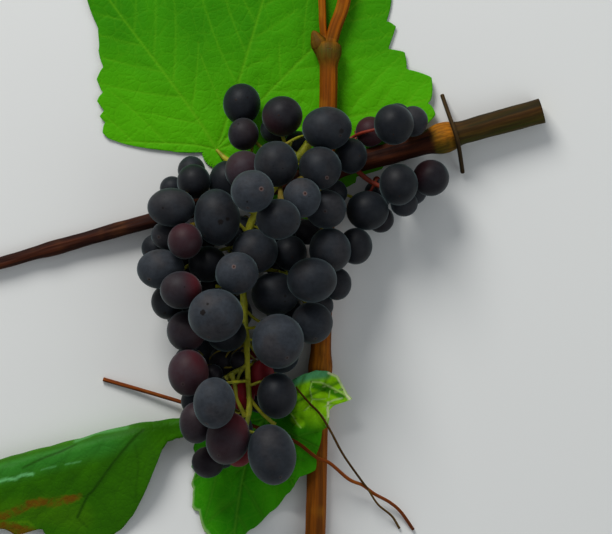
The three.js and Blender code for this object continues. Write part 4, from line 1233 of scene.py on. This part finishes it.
def blade_piece(name, leaf, lie, material, marks):
    """The upper face in fine rings, the under face in a few, closed along the toothed edge."""
    turns = leaf["turns"]
    degrees = np.linspace(0, 360, turns, endpoint=False)
    edge = edge_reach(leaf, degrees)
    upper = np.linspace(0, 1, leaf["rings"] + 1)[1:]
    under = np.linspace(0, 1, 13)[1:]
    points, vectors, fields, faces, rims = [], [], [], [], []
    count = 0
    for shares, side in ((upper, 1), (under, -1)):
        radius = np.concatenate([[0], (shares[:, None] * edge[None]).ravel()])
        angle = np.concatenate([[0], np.tile(degrees, len(shares))])
        rim = np.concatenate([[0], np.repeat(shares, turns)])
        flat = np.column_stack([radius * np.cos(np.radians(angle)), radius * np.sin(np.radians(angle))])
        strength, groove_shade, nearest = vein_field(leaf, flat)
        turned = np.radians(angle - leaf["midrib"])
        u, v = radius * np.cos(turned), radius * np.sin(turned)
        extra = marks(blade_points(leaf, lie, u, v, np.zeros(len(u))), angle, rim, flat)
        puff = leaf["puff"] * (1 - hump(nearest, 1, PUFF_WIDTH)) * smooth_step(1.0, 0.8, rim)
        no_height = np.zeros(len(flat))
        crinkle = CRINKLE * lattice_noise(np.column_stack([flat / CRINKLE_LENGTH, no_height]), 5)
        creases = lattice_noise(np.column_stack([flat / CRUMPLE_LENGTH, no_height]), 6)
        crinkle += CRUMPLE * extra.pop("crumple") * creases
        sunk = leaf["puff"] * VEIN_SINK * strength
        relief = puff + crinkle * smooth_step(0, 12, radius) - sunk + extra.pop("raised")
        thick = LEAF_THICKNESS / 2 * (1 - 0.5 * smooth_step(0.96, 1.0, rim))
        rib = UNDER_VEIN * strength if side < 0 else 0
        offset = relief + side * (thick + rib * smooth_step(1.0, 0.9, rim))
        place = blade_points(leaf, lie, u, v, offset)
        place[:, 2] = np.maximum(place[:, 2], LOWEST_BLADE)
        points.append(place)
        vectors.append(np.column_stack([flat, np.full(len(flat), side * 3.0)]))
        fields.append({
            "vein": strength * leaf["vein_share"], "groove_shade": groove_shade, **extra,
            "underside": np.full(len(flat), 0.0 if side > 0 else 1.0) * smooth_step(0.05, 0.1, rim),
        })
        own_faces = ring_faces(len(shares), turns, count, closed=False)
        faces += own_faces if side > 0 else [face[::-1] for face in own_faces]
        count += len(place)
        rims.append(count - turns)
    top_rim, low_rim = rims
    for j in range(turns):
        after = (j + 1) % turns
        faces.append((top_rim + j, low_rim + j, low_rim + after, top_rim + after))
    values = {key: np.concatenate([f[key] for f in fields]) for key in fields[0]}
    values["blade_place"] = np.vstack(vectors) * MM
    return piece_of(name, np.vstack(points), faces, material, values)


def near_line(points, line, width):
    """1 on a line drawn over the plan, falling to 0 at the width."""
    line = np.asarray(line, float)
    best = np.full(len(points), FAR)
    for a, b in zip(line, line[1:]):
        way = b - a
        share = np.clip(((points[:, :2] - a) @ way) / (way @ way), 0, 1)
        best = np.minimum(best, np.linalg.norm(points[:, :2] - a - share[:, None] * way, axis=1))
    return smooth_step(width, width * 0.25, best)


# Marks on the left leaf. Lines are drawn over the plan, some with a width and how strongly they show.
# Pale streaks on the left leaf: each a line, its width and how strongly it shows.
PALE_STREAKS = [
    ([(-106, -87), (-98.7, -84.6), (-95.1, -84.4), (-92.5, -82.9), (-88.1, -82.5)], 0.9, 0.8),
    ([(-84.8, -80.8), (-79, -79.4)], 0.5, 0.3),
    ([(-75, -78.6), (-68.7, -77.4)], 0.5, 0.35),
    ([(-71, -69.6), (-63, -66.6), (-55, -65)], 0.8, 0.3),
    ([(-60, -66), (-50, -64)], 1.1, 0.24),
]
HURT_LINE = [
    (-106, -101.4), (-95.6, -97.9), (-91.5, -95.9), (-86.8, -94.2), (-80.1, -94), (-72.8, -92.6),
    (-70.3, -92),
]
HURT_SPOTS = [[(-90, -94.8), (-84, -94.2)], [(-74.4, -92.4), (-71.6, -92.2)], [(-106, -101), (-99, -99.4)]]
HURT_TIP = [(-108, -104.6), (-98, -104.8), (-89, -107)]
TIP_EDGE = [(-108, -102.7), (-101.8, -102.5), (-90, -102.2), (-86.8, -106.7)]
WORN_LINE = [(-106, -100), (-82, -97), (-70, -100)]
# The lobe of the centre leaf that lies over the shoot: its fold and vein lines, and its bright parts in
# painted light.
LOBE_MIDDLE = (29, -50)
LOBE_EDGES = [
    ([(31.5, -41.6), (34.9, -43), (36.8, -46.4), (38.5, -50), (40.3, -52.2)], 0.75, 0.8),
    ([(37, -51.8), (33.6, -52.6), (31.6, -53.6)], 0.5, 0.5),
    ([(31.4, -53.6), (31.2, -56.4), (31.4, -59.4)], 0.65, 0.95),
    ([(31, -59.4), (30.6, -63)], 0.5, 0.4),
    ([(39, -51), (40.6, -52.8)], 0.9, 1.0),
]
# The fold's ridge, which carries a painted highlight.
LOBE_FOLD = [(24.8, -45.2), (28.3, -45.4), (31.3, -46.8), (34.4, -48.4), (37.5, -50.1), (39.1, -51.3)]
# A painted shadow under the fold's ridge.
LOBE_PAINTED_SHADOW = [(25.4, -46.8), (28.3, -47.6), (31.3, -48.5), (34.4, -49.8), (36.8, -51.2)]
LOBE_VEINS = [
    [(24.8, -45.2), (24, -48.2), (24.8, -52.3), (24.2, -54.4)],
    [(24.8, -52.3), (27.9, -52.3), (30.3, -52.1)],
    [(32, -48.9), (31.6, -51.5)],
    [(24.2, -54.4), (26.7, -56.6), (29.1, -58.7), (30.1, -59.9)],
    [(24.2, -54.6), (21.8, -56.8)],
    [(16.4, -58), (18.1, -60.9), (20.3, -63.8)],
]
# Where painted light falls on the lobe: a line, its width and how bright it is.
LOBE_PAINTED_LIGHT = [
    ([(26, -49.6), (30, -50.4)], 3.0, 1.0),
    ([(26.5, -54), (29.5, -55.5)], 3.0, 0.9),
    ([(28, -43.4), (35, -46)], 2.2, 0.9),
    ([(18, -50), (22, -54)], 6, 0.5),
    ([(18, -60), (20.6, -62)], 2.6, 0.6),
    ([(33.5, -47), (38.5, -50.5)], 2.2, 0.6),
]
LOBE_COOL = [(15, -46), (19.5, -43.6), (24, -42.2), (30, -41.6)]

# What shows at each point of a leaf. The first four are for its finish, from 0 to 1, and the others are for
# the relief of the blade.
MARKS = ("hurt", "pale", "glow", "bluish", "crumple", "raised")


def all_marks(place, **shown):
    """The marks that are given, and none of the others."""
    none = np.zeros(len(place))
    return {mark: shown.get(mark, none) for mark in MARKS}


def left_leaf_marks(place, angle, rim, flat):
    """Brown hurts over the tip, pale streaks, a worn glow and a painted bluish sheen along the midrib's fold.
    """
    hurt = near_line(place, HURT_LINE, 3.4) * 0.64
    for spot in HURT_SPOTS:
        hurt = np.maximum(hurt, near_line(place, spot, 2.6) * 0.9)
    hurt = np.maximum(hurt, near_line(place, HURT_TIP, 4.6) * 0.85)
    pale = np.max([near_line(place, line, width) * share for line, width, share in PALE_STREAKS], axis=0)
    along, across = turned(flat[:, 0], flat[:, 1], -math.radians(LEFT_LEAF["midrib"]))
    # The bluish tint along the curled fold is a painted sheen.
    fold = smooth_step(-6, -2.5, across) * smooth_step(7, 0, across) * smooth_step(6, 30, along)
    glow = 0.16 * near_line(place, WORN_LINE, 9) + 0.35 * near_line(place, TIP_EDGE, 1.0)
    return all_marks(place, hurt=hurt, pale=pale, glow=glow, bluish=0.65 * fold)


def centre_leaf_marks(place, angle, rim, flat):
    """A pale left edge, and the crumpled lobe over the shoot, in painted light, with its fold and veins."""
    turn = (angle + 180) % 360 - 180
    left = smooth_step(-150, -135, turn) * smooth_step(-98, -112, turn) + smooth_step(170, 178, np.abs(turn))
    edge = 0.22 * smooth_step(0.965, 0.99, rim) * np.minimum(left, 1)
    for line, width, share in LOBE_EDGES:
        edge = np.maximum(edge, near_line(place, line, width) * share)
    fold = near_line(place, LOBE_FOLD, 0.6)
    veins = np.max([near_line(place, line, 0.42) for line in LOBE_VEINS], axis=0)
    # The fold's pale line is a painted highlight.
    edge = np.maximum(edge, np.maximum(0.3 * fold, 0.2 * veins))
    from_middle = np.hypot(place[:, 0] - LOBE_MIDDLE[0], place[:, 1] - LOBE_MIDDLE[1])
    # Painted light: the lobe is brightest round its middle and along its bright lines.
    glow = 0.85 * smooth_step(17, 7, from_middle)
    for line, width, share in LOBE_PAINTED_LIGHT:
        glow = np.maximum(glow, near_line(place, line, width) * share)
    # The painted shadow under the fold dims the painted light; the fold and veins take the bright tone.
    shade = near_line(place, LOBE_PAINTED_SHADOW, 2.0)
    glow = np.maximum(glow * (1 - 0.9 * shade), np.maximum(0.9 * fold, 0.7 * veins))
    cool = near_line(place, LOBE_COOL, 3.6)
    lobe = smooth_step(22, 14, from_middle)
    return all_marks(
        place, pale=edge, glow=glow * (1 - 0.7 * cool), bluish=cool * 0.6,
        crumple=lobe * smooth_step(1.0, 0.9, rim), raised=0.7 * fold + 0.25 * veins - 0.4 * shade)


def top_leaf_marks(place, angle, rim, flat):
    """Painted light: brighter towards its lower and right parts."""
    glow = 0.75 * smooth_step(56, 4, flat[:, 1]) + 0.2 * smooth_step(10, 40, flat[:, 0])
    return all_marks(place, glow=glow)


# Everything is made and put on its body.

skin = berry_finish()
stalk_green = stalk_finish()
warts = wart_finish()
# The barks: the dark, middle and light tones, and the roughness.
BARKS = {
    "cane_bark": ((0.019, 0.0052, 0.0034), (0.078, 0.018, 0.006), (0.115, 0.038, 0.010), 0.55),
    "upper_shoot_bark": ((0.22, 0.056, 0.002), (0.46, 0.118, 0.003), (0.50, 0.21, 0.010), 0.5),
    "lower_shoot_bark": ((0.17, 0.046, 0.002), (0.38, 0.100, 0.003), (0.44, 0.17, 0.010), 0.5),
    "tendril_bark": ((0.09, 0.019, 0.002), (0.27, 0.056, 0.004), (0.42, 0.14, 0.012), 0.5),
    "tendril_fork_bark": ((0.05, 0.020, 0.003), (0.13, 0.066, 0.008), (0.20, 0.12, 0.02), 0.55),
    "dry_tendril_bark": ((0.02, 0.012, 0.005), (0.06, 0.034, 0.010), (0.11, 0.065, 0.02), 0.6),
}
barks = {name: bark_finish(name, *look) for name, look in BARKS.items()}
# The top leaf's bright tone is the colour of its painted light.
top_leaf_green = leaf_finish("top_leaf_green", {
    "shade": (0.026, 0.20, 0.0008), "middle": (0.044, 0.285, 0.001), "bright": (0.095, 0.47, 0.001),
    "cool": (0.02, 0.2, 0.05), "pale_and_highlight": (0.5, 0.6, 0.2), "vein": (0.15, 0.44, 0.008),
}, roughness=0.55, groove_shade=0.0, net_share=0.08)
# The left leaf's cool tone is the colour of its painted sheen.
left_leaf_green = leaf_finish("left_leaf_green", {
    "shade": (0.022, 0.115, 0.0005), "middle": (0.044, 0.20, 0.0008), "bright": (0.16, 0.36, 0.004),
    "cool": (0.030, 0.21, 0.024), "pale_and_highlight": (0.18, 0.56, 0.20), "vein": (0.016, 0.07, 0.002),
}, roughness=0.45, groove_shade=0.8, net_share=0.1)
# The centre leaf's bright tone is the colour of its painted light.
centre_leaf_green = leaf_finish("centre_leaf_green", {
    "shade": (0.020, 0.21, 0.0005), "middle": (0.044, 0.30, 0.0008), "bright": (0.43, 0.96, 0.006),
    "cool": (0.12, 0.50, 0.30), "pale_and_highlight": (0.92, 0.98, 0.55), "vein": (0.10, 0.36, 0.012),
}, roughness=0.5, groove_shade=0.6, net_share=0.12)

single = [berry_from_node(f"berry_{i:02d}") for i in range(1, 43)]
side_single = [berry_from_node(f"side_berry_{i:02d}") for i in range(1, 5)]
small = fused_berries("bunch_stalk", SMALL_BERRIES)
hidden = fused_berries("bunch_stalk", hidden_rows())
side_small = fused_berries("side_bunch_stalk", SMALL_SIDE_BERRIES + HIDDEN_SIDE_BERRIES)

main_path, main_radii = laid_path("bunch_stalk", MAIN_STALK, taper(*MAIN_STALK_RADII))
side_paths = [laid_path("bunch_stalk", places, level(SIDE_STALK_RADIUS)) for places in SIDE_STALKS]
wing_path, wing_radii = laid_path("side_bunch_stalk", WING_STALK, taper(*WING_STALK_RADII))
wing_side, wing_side_radii = laid_path("side_bunch_stalk", WING_SIDE, level(SIDE_STALK_RADIUS))

x, y, width, length = BEHIND_STALK
over = main_path[int(np.argmin(np.abs(main_path[:, 1] - y))), 2]
under = over - MAIN_STALK_RADII[1] - width / 2 - BEHIND_GAP
behind = Berry("behind_stalk", (x, y, under), (width / 2, length / 2, width / 2))
behind.red = (1.0, 0.0, (1, 0))
small.append(behind)
for x, y, width in TUCKED_BERRIES:
    small.append(tucked_berry(x, y, width, single + small + hidden))
bunch_berries = single + small + hidden
wing_berries = side_single + side_small
bunch_twigs = berry_stalks(bunch_berries, single + small, [main_path] + [p for p, _ in side_paths])
wing_twigs = berry_stalks(wing_berries, side_single + side_small, [wing_path, wing_side])

tubes = tube_maker(stalk_green)
wart_tree = wart_maker(warts)


def bare_stalk(places, radius=BARE_RADIUS, droop=BARE_DROOP):
    """A thin stalk that droops from the main stalk, with a swollen foot and a small knob at its end."""
    plan = along_curve(places, 0.8)
    gap = np.linalg.norm(main_path[:, :2] - plan[0], axis=1)
    share = np.linspace(0, 1, len(plan))
    heights = main_path[int(np.argmin(gap)), 2] - TWIG_DROP - droop * share ** 1.5
    radii = radius * (1 + hump(share, *TWIG_FOOT) + hump(1 - share, *TWIG_KNOB))
    return np.column_stack([plan, heights]), radii


def knotted(path, radii, starts):
    """The stalk thickens where each side stalk leaves it."""
    for start in starts:
        gap = np.linalg.norm(path[:, :2] - np.asarray(start, float), axis=1)
        radii = radii * (1 + hump(gap, *STALK_SWELLING))
    return path, radii


def stalk_pieces(name, trunks, twigs, bare, red):
    """All the stalks of a bunch as tubes, with their warts. They lie above the table."""
    paths = [p for p, _ in trunks] + twigs + [p for p, _ in bare]
    radii = [r for _, r in trunks] + [stalk_radii(t) for t in twigs] + [r for _, r in bare]
    paths = [np.column_stack([p[:, :2], np.maximum(p[:, 2], r + CLEARANCE)]) for p, r in zip(paths, radii)]
    brown = [np.full(len(p), SIDE_STALK_BROWNING if i else 0.0) for i, (p, _) in enumerate(trunks)]
    brown += [smooth_step(0.55, 1, np.linspace(0, 1, len(t))) for t in twigs]
    brown += [np.full(len(p), BARE_BROWNING) for p, _ in bare]
    source = line_mesh(name, paths, radii, {
        "browning": np.concatenate(brown), "ripe_red": np.full(sum(map(len, paths)), red)})
    made = made_by_nodes(name, source, tubes, Sides=12, Thickness=1.0)
    return made, made_by_nodes(name + "_warts", made.data.copy(), wart_tree, **WARTS)


green_paths = [bare_stalk(places, radius, droop) for radius, droop, places in GREEN_BRANCHES]
bare_paths = [bare_stalk(places) for places in BARE_STALKS]
main_trunk = knotted(main_path, main_radii, [places[0] for places in SIDE_STALKS])
wing_trunk = knotted(wing_path, wing_radii, [WING_SIDE[0]])
bunch_tubes, bunch_warts = stalk_pieces(
    "bunch_stalks", [main_trunk] + side_paths + green_paths, bunch_twigs, bare_paths, red=0.0)
wing_tubes, wing_warts = stalk_pieces(
    "side_bunch_stalks", [wing_trunk, (wing_side, wing_side_radii)], wing_twigs, [], red=0.95)


def settle(piece, slot, *nodes):
    """Puts a piece on the body, in place of the solids that it dresses. The slot is not used."""
    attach(piece, "root")
    if nodes:
        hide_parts(*nodes)


settle(bunch_tubes, "bunch_stalk", "bunch_stalk")
settle(bunch_warts, "bunch_stalk")
settle(wing_tubes, "bunch_stalk", "side_bunch_stalk")
settle(wing_warts, "bunch_stalk")

groups = {
    "upper_berries": [b for b in single if b.place[1] > 24],
    "middle_berries": [b for b in single if -24 < b.place[1] <= 24],
    "lower_berries": [b for b in single if b.place[1] <= -24],
    "side_berries": side_single,
}
for name, group in groups.items():
    settle(berries_piece(name, group, skin), "berry_skin", *[b.name for b in group])
settle(berries_piece("small_berries", small + side_small, skin, rows=16, turns=28), "berry_skin")
settle(berries_piece("hidden_berries", hidden, skin, rows=14, turns=24), "berry_skin")


def cane_radius(along):
    """The cane's radius at shares of its length: it tapers to the left and swells at each joint."""
    x = CANE["left"] + (CANE["right"] - CANE["left"]) * np.asarray(along, float)
    plain = CANE["radii"][0] + (CANE["radii"][1] - CANE["radii"][0]) * np.asarray(along, float)
    swells = [
        share * np.exp(-(np.abs((x - joint) / CANE_JOINT_LENGTH) ** 2.6))
        for joint, share in CANE_JOINTS
    ]
    return plain * (1 + np.max(swells, axis=0))


cane_places = [(x, CANE["height"] + CANE["slope"] * x) for x in (CANE["left"], -3, CANE["right"])]
cane_path, cane_radii = laid_path("cane", cane_places, cane_radius)


def near_joint(joint):
    """The pale collar round one joint, square to the cane, and the greener bark beyond it."""
    middle = CANE["height"] + CANE["slope"] * joint
    inner, outer = COLLAR_FADE

    def marks(points):
        along = (points[:, 0] - joint) + (points[:, 1] - middle) * CANE["slope"]
        across = points[:, 1] - middle - (points[:, 0] - joint) * CANE["slope"]
        collar = smooth_step(outer, inner, np.abs(along))
        # Painted shade: the lower side of the collar and of the bark beyond it is darker.
        below = smooth_step(1.0, -4.0, across)
        green = 0.3 * smooth_step(inner, outer, along) * (1 + below) + 0.55 * collar * below
        return 0.95 * collar, green

    return lambda points: marks(points)[0], lambda points: marks(points)[1]


cane = bark_piece(
    "cane_bark", cane_path, cane_radii - BARK_INSET, 72, bark_relief(0.5, 11, 14), barks["cane_bark"],
    *near_joint(COLLAR_JOINT))
settle(cane, "cane_bark", "cane")

cane_y = CANE["height"] + CANE["slope"] * SHOOT_X
shoot_share = (SHOOT_X - CANE["left"]) / (CANE["right"] - CANE["left"])
seat = float(cane_radius(shoot_share)) + SHOOT_GAP
lower_places = [(SHOOT_X - 0.4, cane_y - seat)] + LOWER_SHOOT


def lower_radius(share):
    """The lower shoot's radius: even, but for a low swelling half-way down."""
    return LOWER_RADIUS * (1 + hump(np.asarray(share) - 0.47, 0.2, 0.03))


lower_path, lower_radii = laid_path("lower_shoot", lower_places, lower_radius)
lower = bark_piece(
    "lower_shoot_bark", lower_path, lower_radii, 56, bark_relief(0.22, 21, 18), barks["lower_shoot_bark"])
settle(lower, "shoot_bark", "lower_shoot")


def upper_radius(share):
    """The upper shoot's radius: it swells towards the fork."""
    return UPPER_RADIUS * (1 + 0.45 * smooth_step(0.82, 0.97, np.asarray(share)))


upper_places = [(SHOOT_X + 0.3, cane_y + seat)] + UPPER_SHOOT
upper_path, upper_radii = laid_path("upper_shoot", upper_places, upper_radius)


def at_fork(points):
    """How green the bark is at the fork."""
    return hump(points[:, 1] - FORK_Y, *FORK_STAIN)


upper_bark = barks["upper_shoot_bark"]
upper_parts = [bark_piece(
    "upper_shoot_bark", upper_path, upper_radii, 52, bark_relief(0.2, 31, 18), upper_bark,
    stain_and_shade=at_fork)]
for number, (radius, places) in enumerate(UPPER_BRANCHES):
    path, radii = laid_path("upper_shoot", places, level(radius))
    upper_parts.append(bark_piece(
        f"upper_branch_{number}", path, radii, 36, bark_relief(0.12, 41 + number, 14), upper_bark,
        stain_and_shade=at_fork))
upper_parts.append(bud_piece(
    "fork_bud", (*FORK_BUD["plan"], upper_path[-1][2]), FORK_BUD["way"], FORK_BUD["length"],
    FORK_BUD["width"], upper_bark, lambda points: np.full(len(points), FORK_BUD["stain"])))
upper = join("upper_shoot_bark", upper_parts)
settle(upper, "shoot_bark", "upper_shoot")

thinning = taper(TENDRIL_RADIUS, TENDRIL_RADIUS * 0.75)
tendril_path, tendril_radii = laid_path("long_tendril", TENDRIL, thinning, TENDRIL_STEP)
tendril_parts = [bark_piece(
    "tendril_main", tendril_path, tendril_radii, 20, bark_relief(0.1, 51, 8), barks["tendril_bark"])]
for number, places in enumerate(TENDRIL_FORKS):
    path, radii = laid_path("long_tendril", places, level(FORK_RADIUS), TENDRIL_STEP)
    tendril_parts.append(bark_piece(
        f"tendril_fork_{number}", path, radii, 16, bark_relief(0.08, 52, 8), barks["tendril_fork_bark"]))
settle(join("long_tendril_bark", tendril_parts), "tendril_bark", "long_tendril")
dry_path, dry_radii = laid_path("dry_tendril", DRY_TENDRIL, level(DRY_RADIUS), TENDRIL_STEP)
dry = bark_piece(
    "dry_tendril_bark", dry_path, dry_radii, 20, bark_relief(0.12, 61, 8), barks["dry_tendril_bark"])
settle(dry, "tendril_bark", "dry_tendril")

leaves = [
    ("top_leaf", TOP_LEAF, top_leaf_lie, top_leaf_green, top_leaf_marks),
    ("left_leaf", LEFT_LEAF, left_leaf_lie, left_leaf_green, left_leaf_marks),
    ("centre_leaf", CENTRE_LEAF, centre_leaf_lie, centre_leaf_green, centre_leaf_marks),
]
for name, leaf, lie, green, marks in leaves:
    settle(blade_piece(name + "_blade", leaf, lie, green, marks), leaf["slot"], name)
    path = along_curve(leaf["stalk"], 1.0)
    steps = np.arange(len(path), dtype=float)
    radii = LEAF_STALK_RADIUS * (0.5 + 0.4 * smooth_step(0, 6, steps))
    radii += hump(steps[-1] - steps, *LEAF_STALK_END)
    path[:, 2] -= hump(steps, *LEAF_STALK_SINK)
    source = line_mesh(name + "_stalk", [path], [radii], {
        "browning": np.full(len(path), LEAF_STALK_BROWNING), "ripe_red": np.zeros(len(path))})
    settle(made_by_nodes(name + "_stalk", source, tubes, Sides=16, Thickness=1.0), "bunch_stalk")

# The table, the light and the camera.
floor_mesh = bpy.data.meshes.new("table_top")
table_corners = [(TABLE_REACH * x, TABLE_REACH * y, 0) for x, y in ((-1, -1), (1, -1), (1, 1), (-1, 1))]
floor_mesh.from_pydata(table_corners, [], [(0, 1, 2, 3)])
floor = bpy.data.objects.new("table_top", floor_mesh)
bpy.context.scene.collection.objects.link(floor)
plain = Finish("table_pale")
floor_mesh.materials.append(plain.close({"Base Color": (0.80, 0.81, 0.80, 1.0), "Roughness": 0.8}))


def soft_light(name, place, size, power, colour):
    """A round lamp that looks at the plant."""
    light = bpy.data.lights.new(name, "AREA")
    light.shape = "DISK"
    light.size = size
    light.energy = power
    light.color = colour
    lamp = bpy.data.objects.new(name, light)
    lamp.location = place
    lamp.rotation_euler = (Vector(LIGHTS_AIM) - Vector(place)).to_track_quat("-Z", "Y").to_euler()
    bpy.context.scene.collection.objects.link(lamp)


soft_light("key", (-0.55, 1.35, 1.0), size=0.8, power=24.0, colour=(1.0, 0.99, 0.96))
soft_light("fill", (1.3, -0.5, 1.2), size=1.2, power=4.0, colour=(0.90, 0.98, 1.0))
world = bpy.data.worlds.new("studio")
world.use_nodes = True
world.node_tree.nodes["Background"].inputs["Color"].default_value = (0.93, 0.96, 1.0, 1.0)
world.node_tree.nodes["Background"].inputs["Strength"].default_value = 0.3
bpy.context.scene.world = world
bpy.context.scene.view_settings.view_transform = "Standard"

camera_data = bpy.data.cameras.new("camera")
camera_data.sensor_width = SENSOR
camera_data.lens = SENSOR * (CAMERA_HEIGHT - VIEW_HEIGHT) / VIEW_WIDTH
camera_data.clip_start = 0.05
camera_data.clip_end = 20
camera = bpy.data.objects.new("camera", camera_data)
camera.location = Vector(to_frame((*VIEW_CENTRE, CAMERA_HEIGHT)))
bpy.context.scene.collection.objects.link(camera)
bpy.context.scene.camera = camera
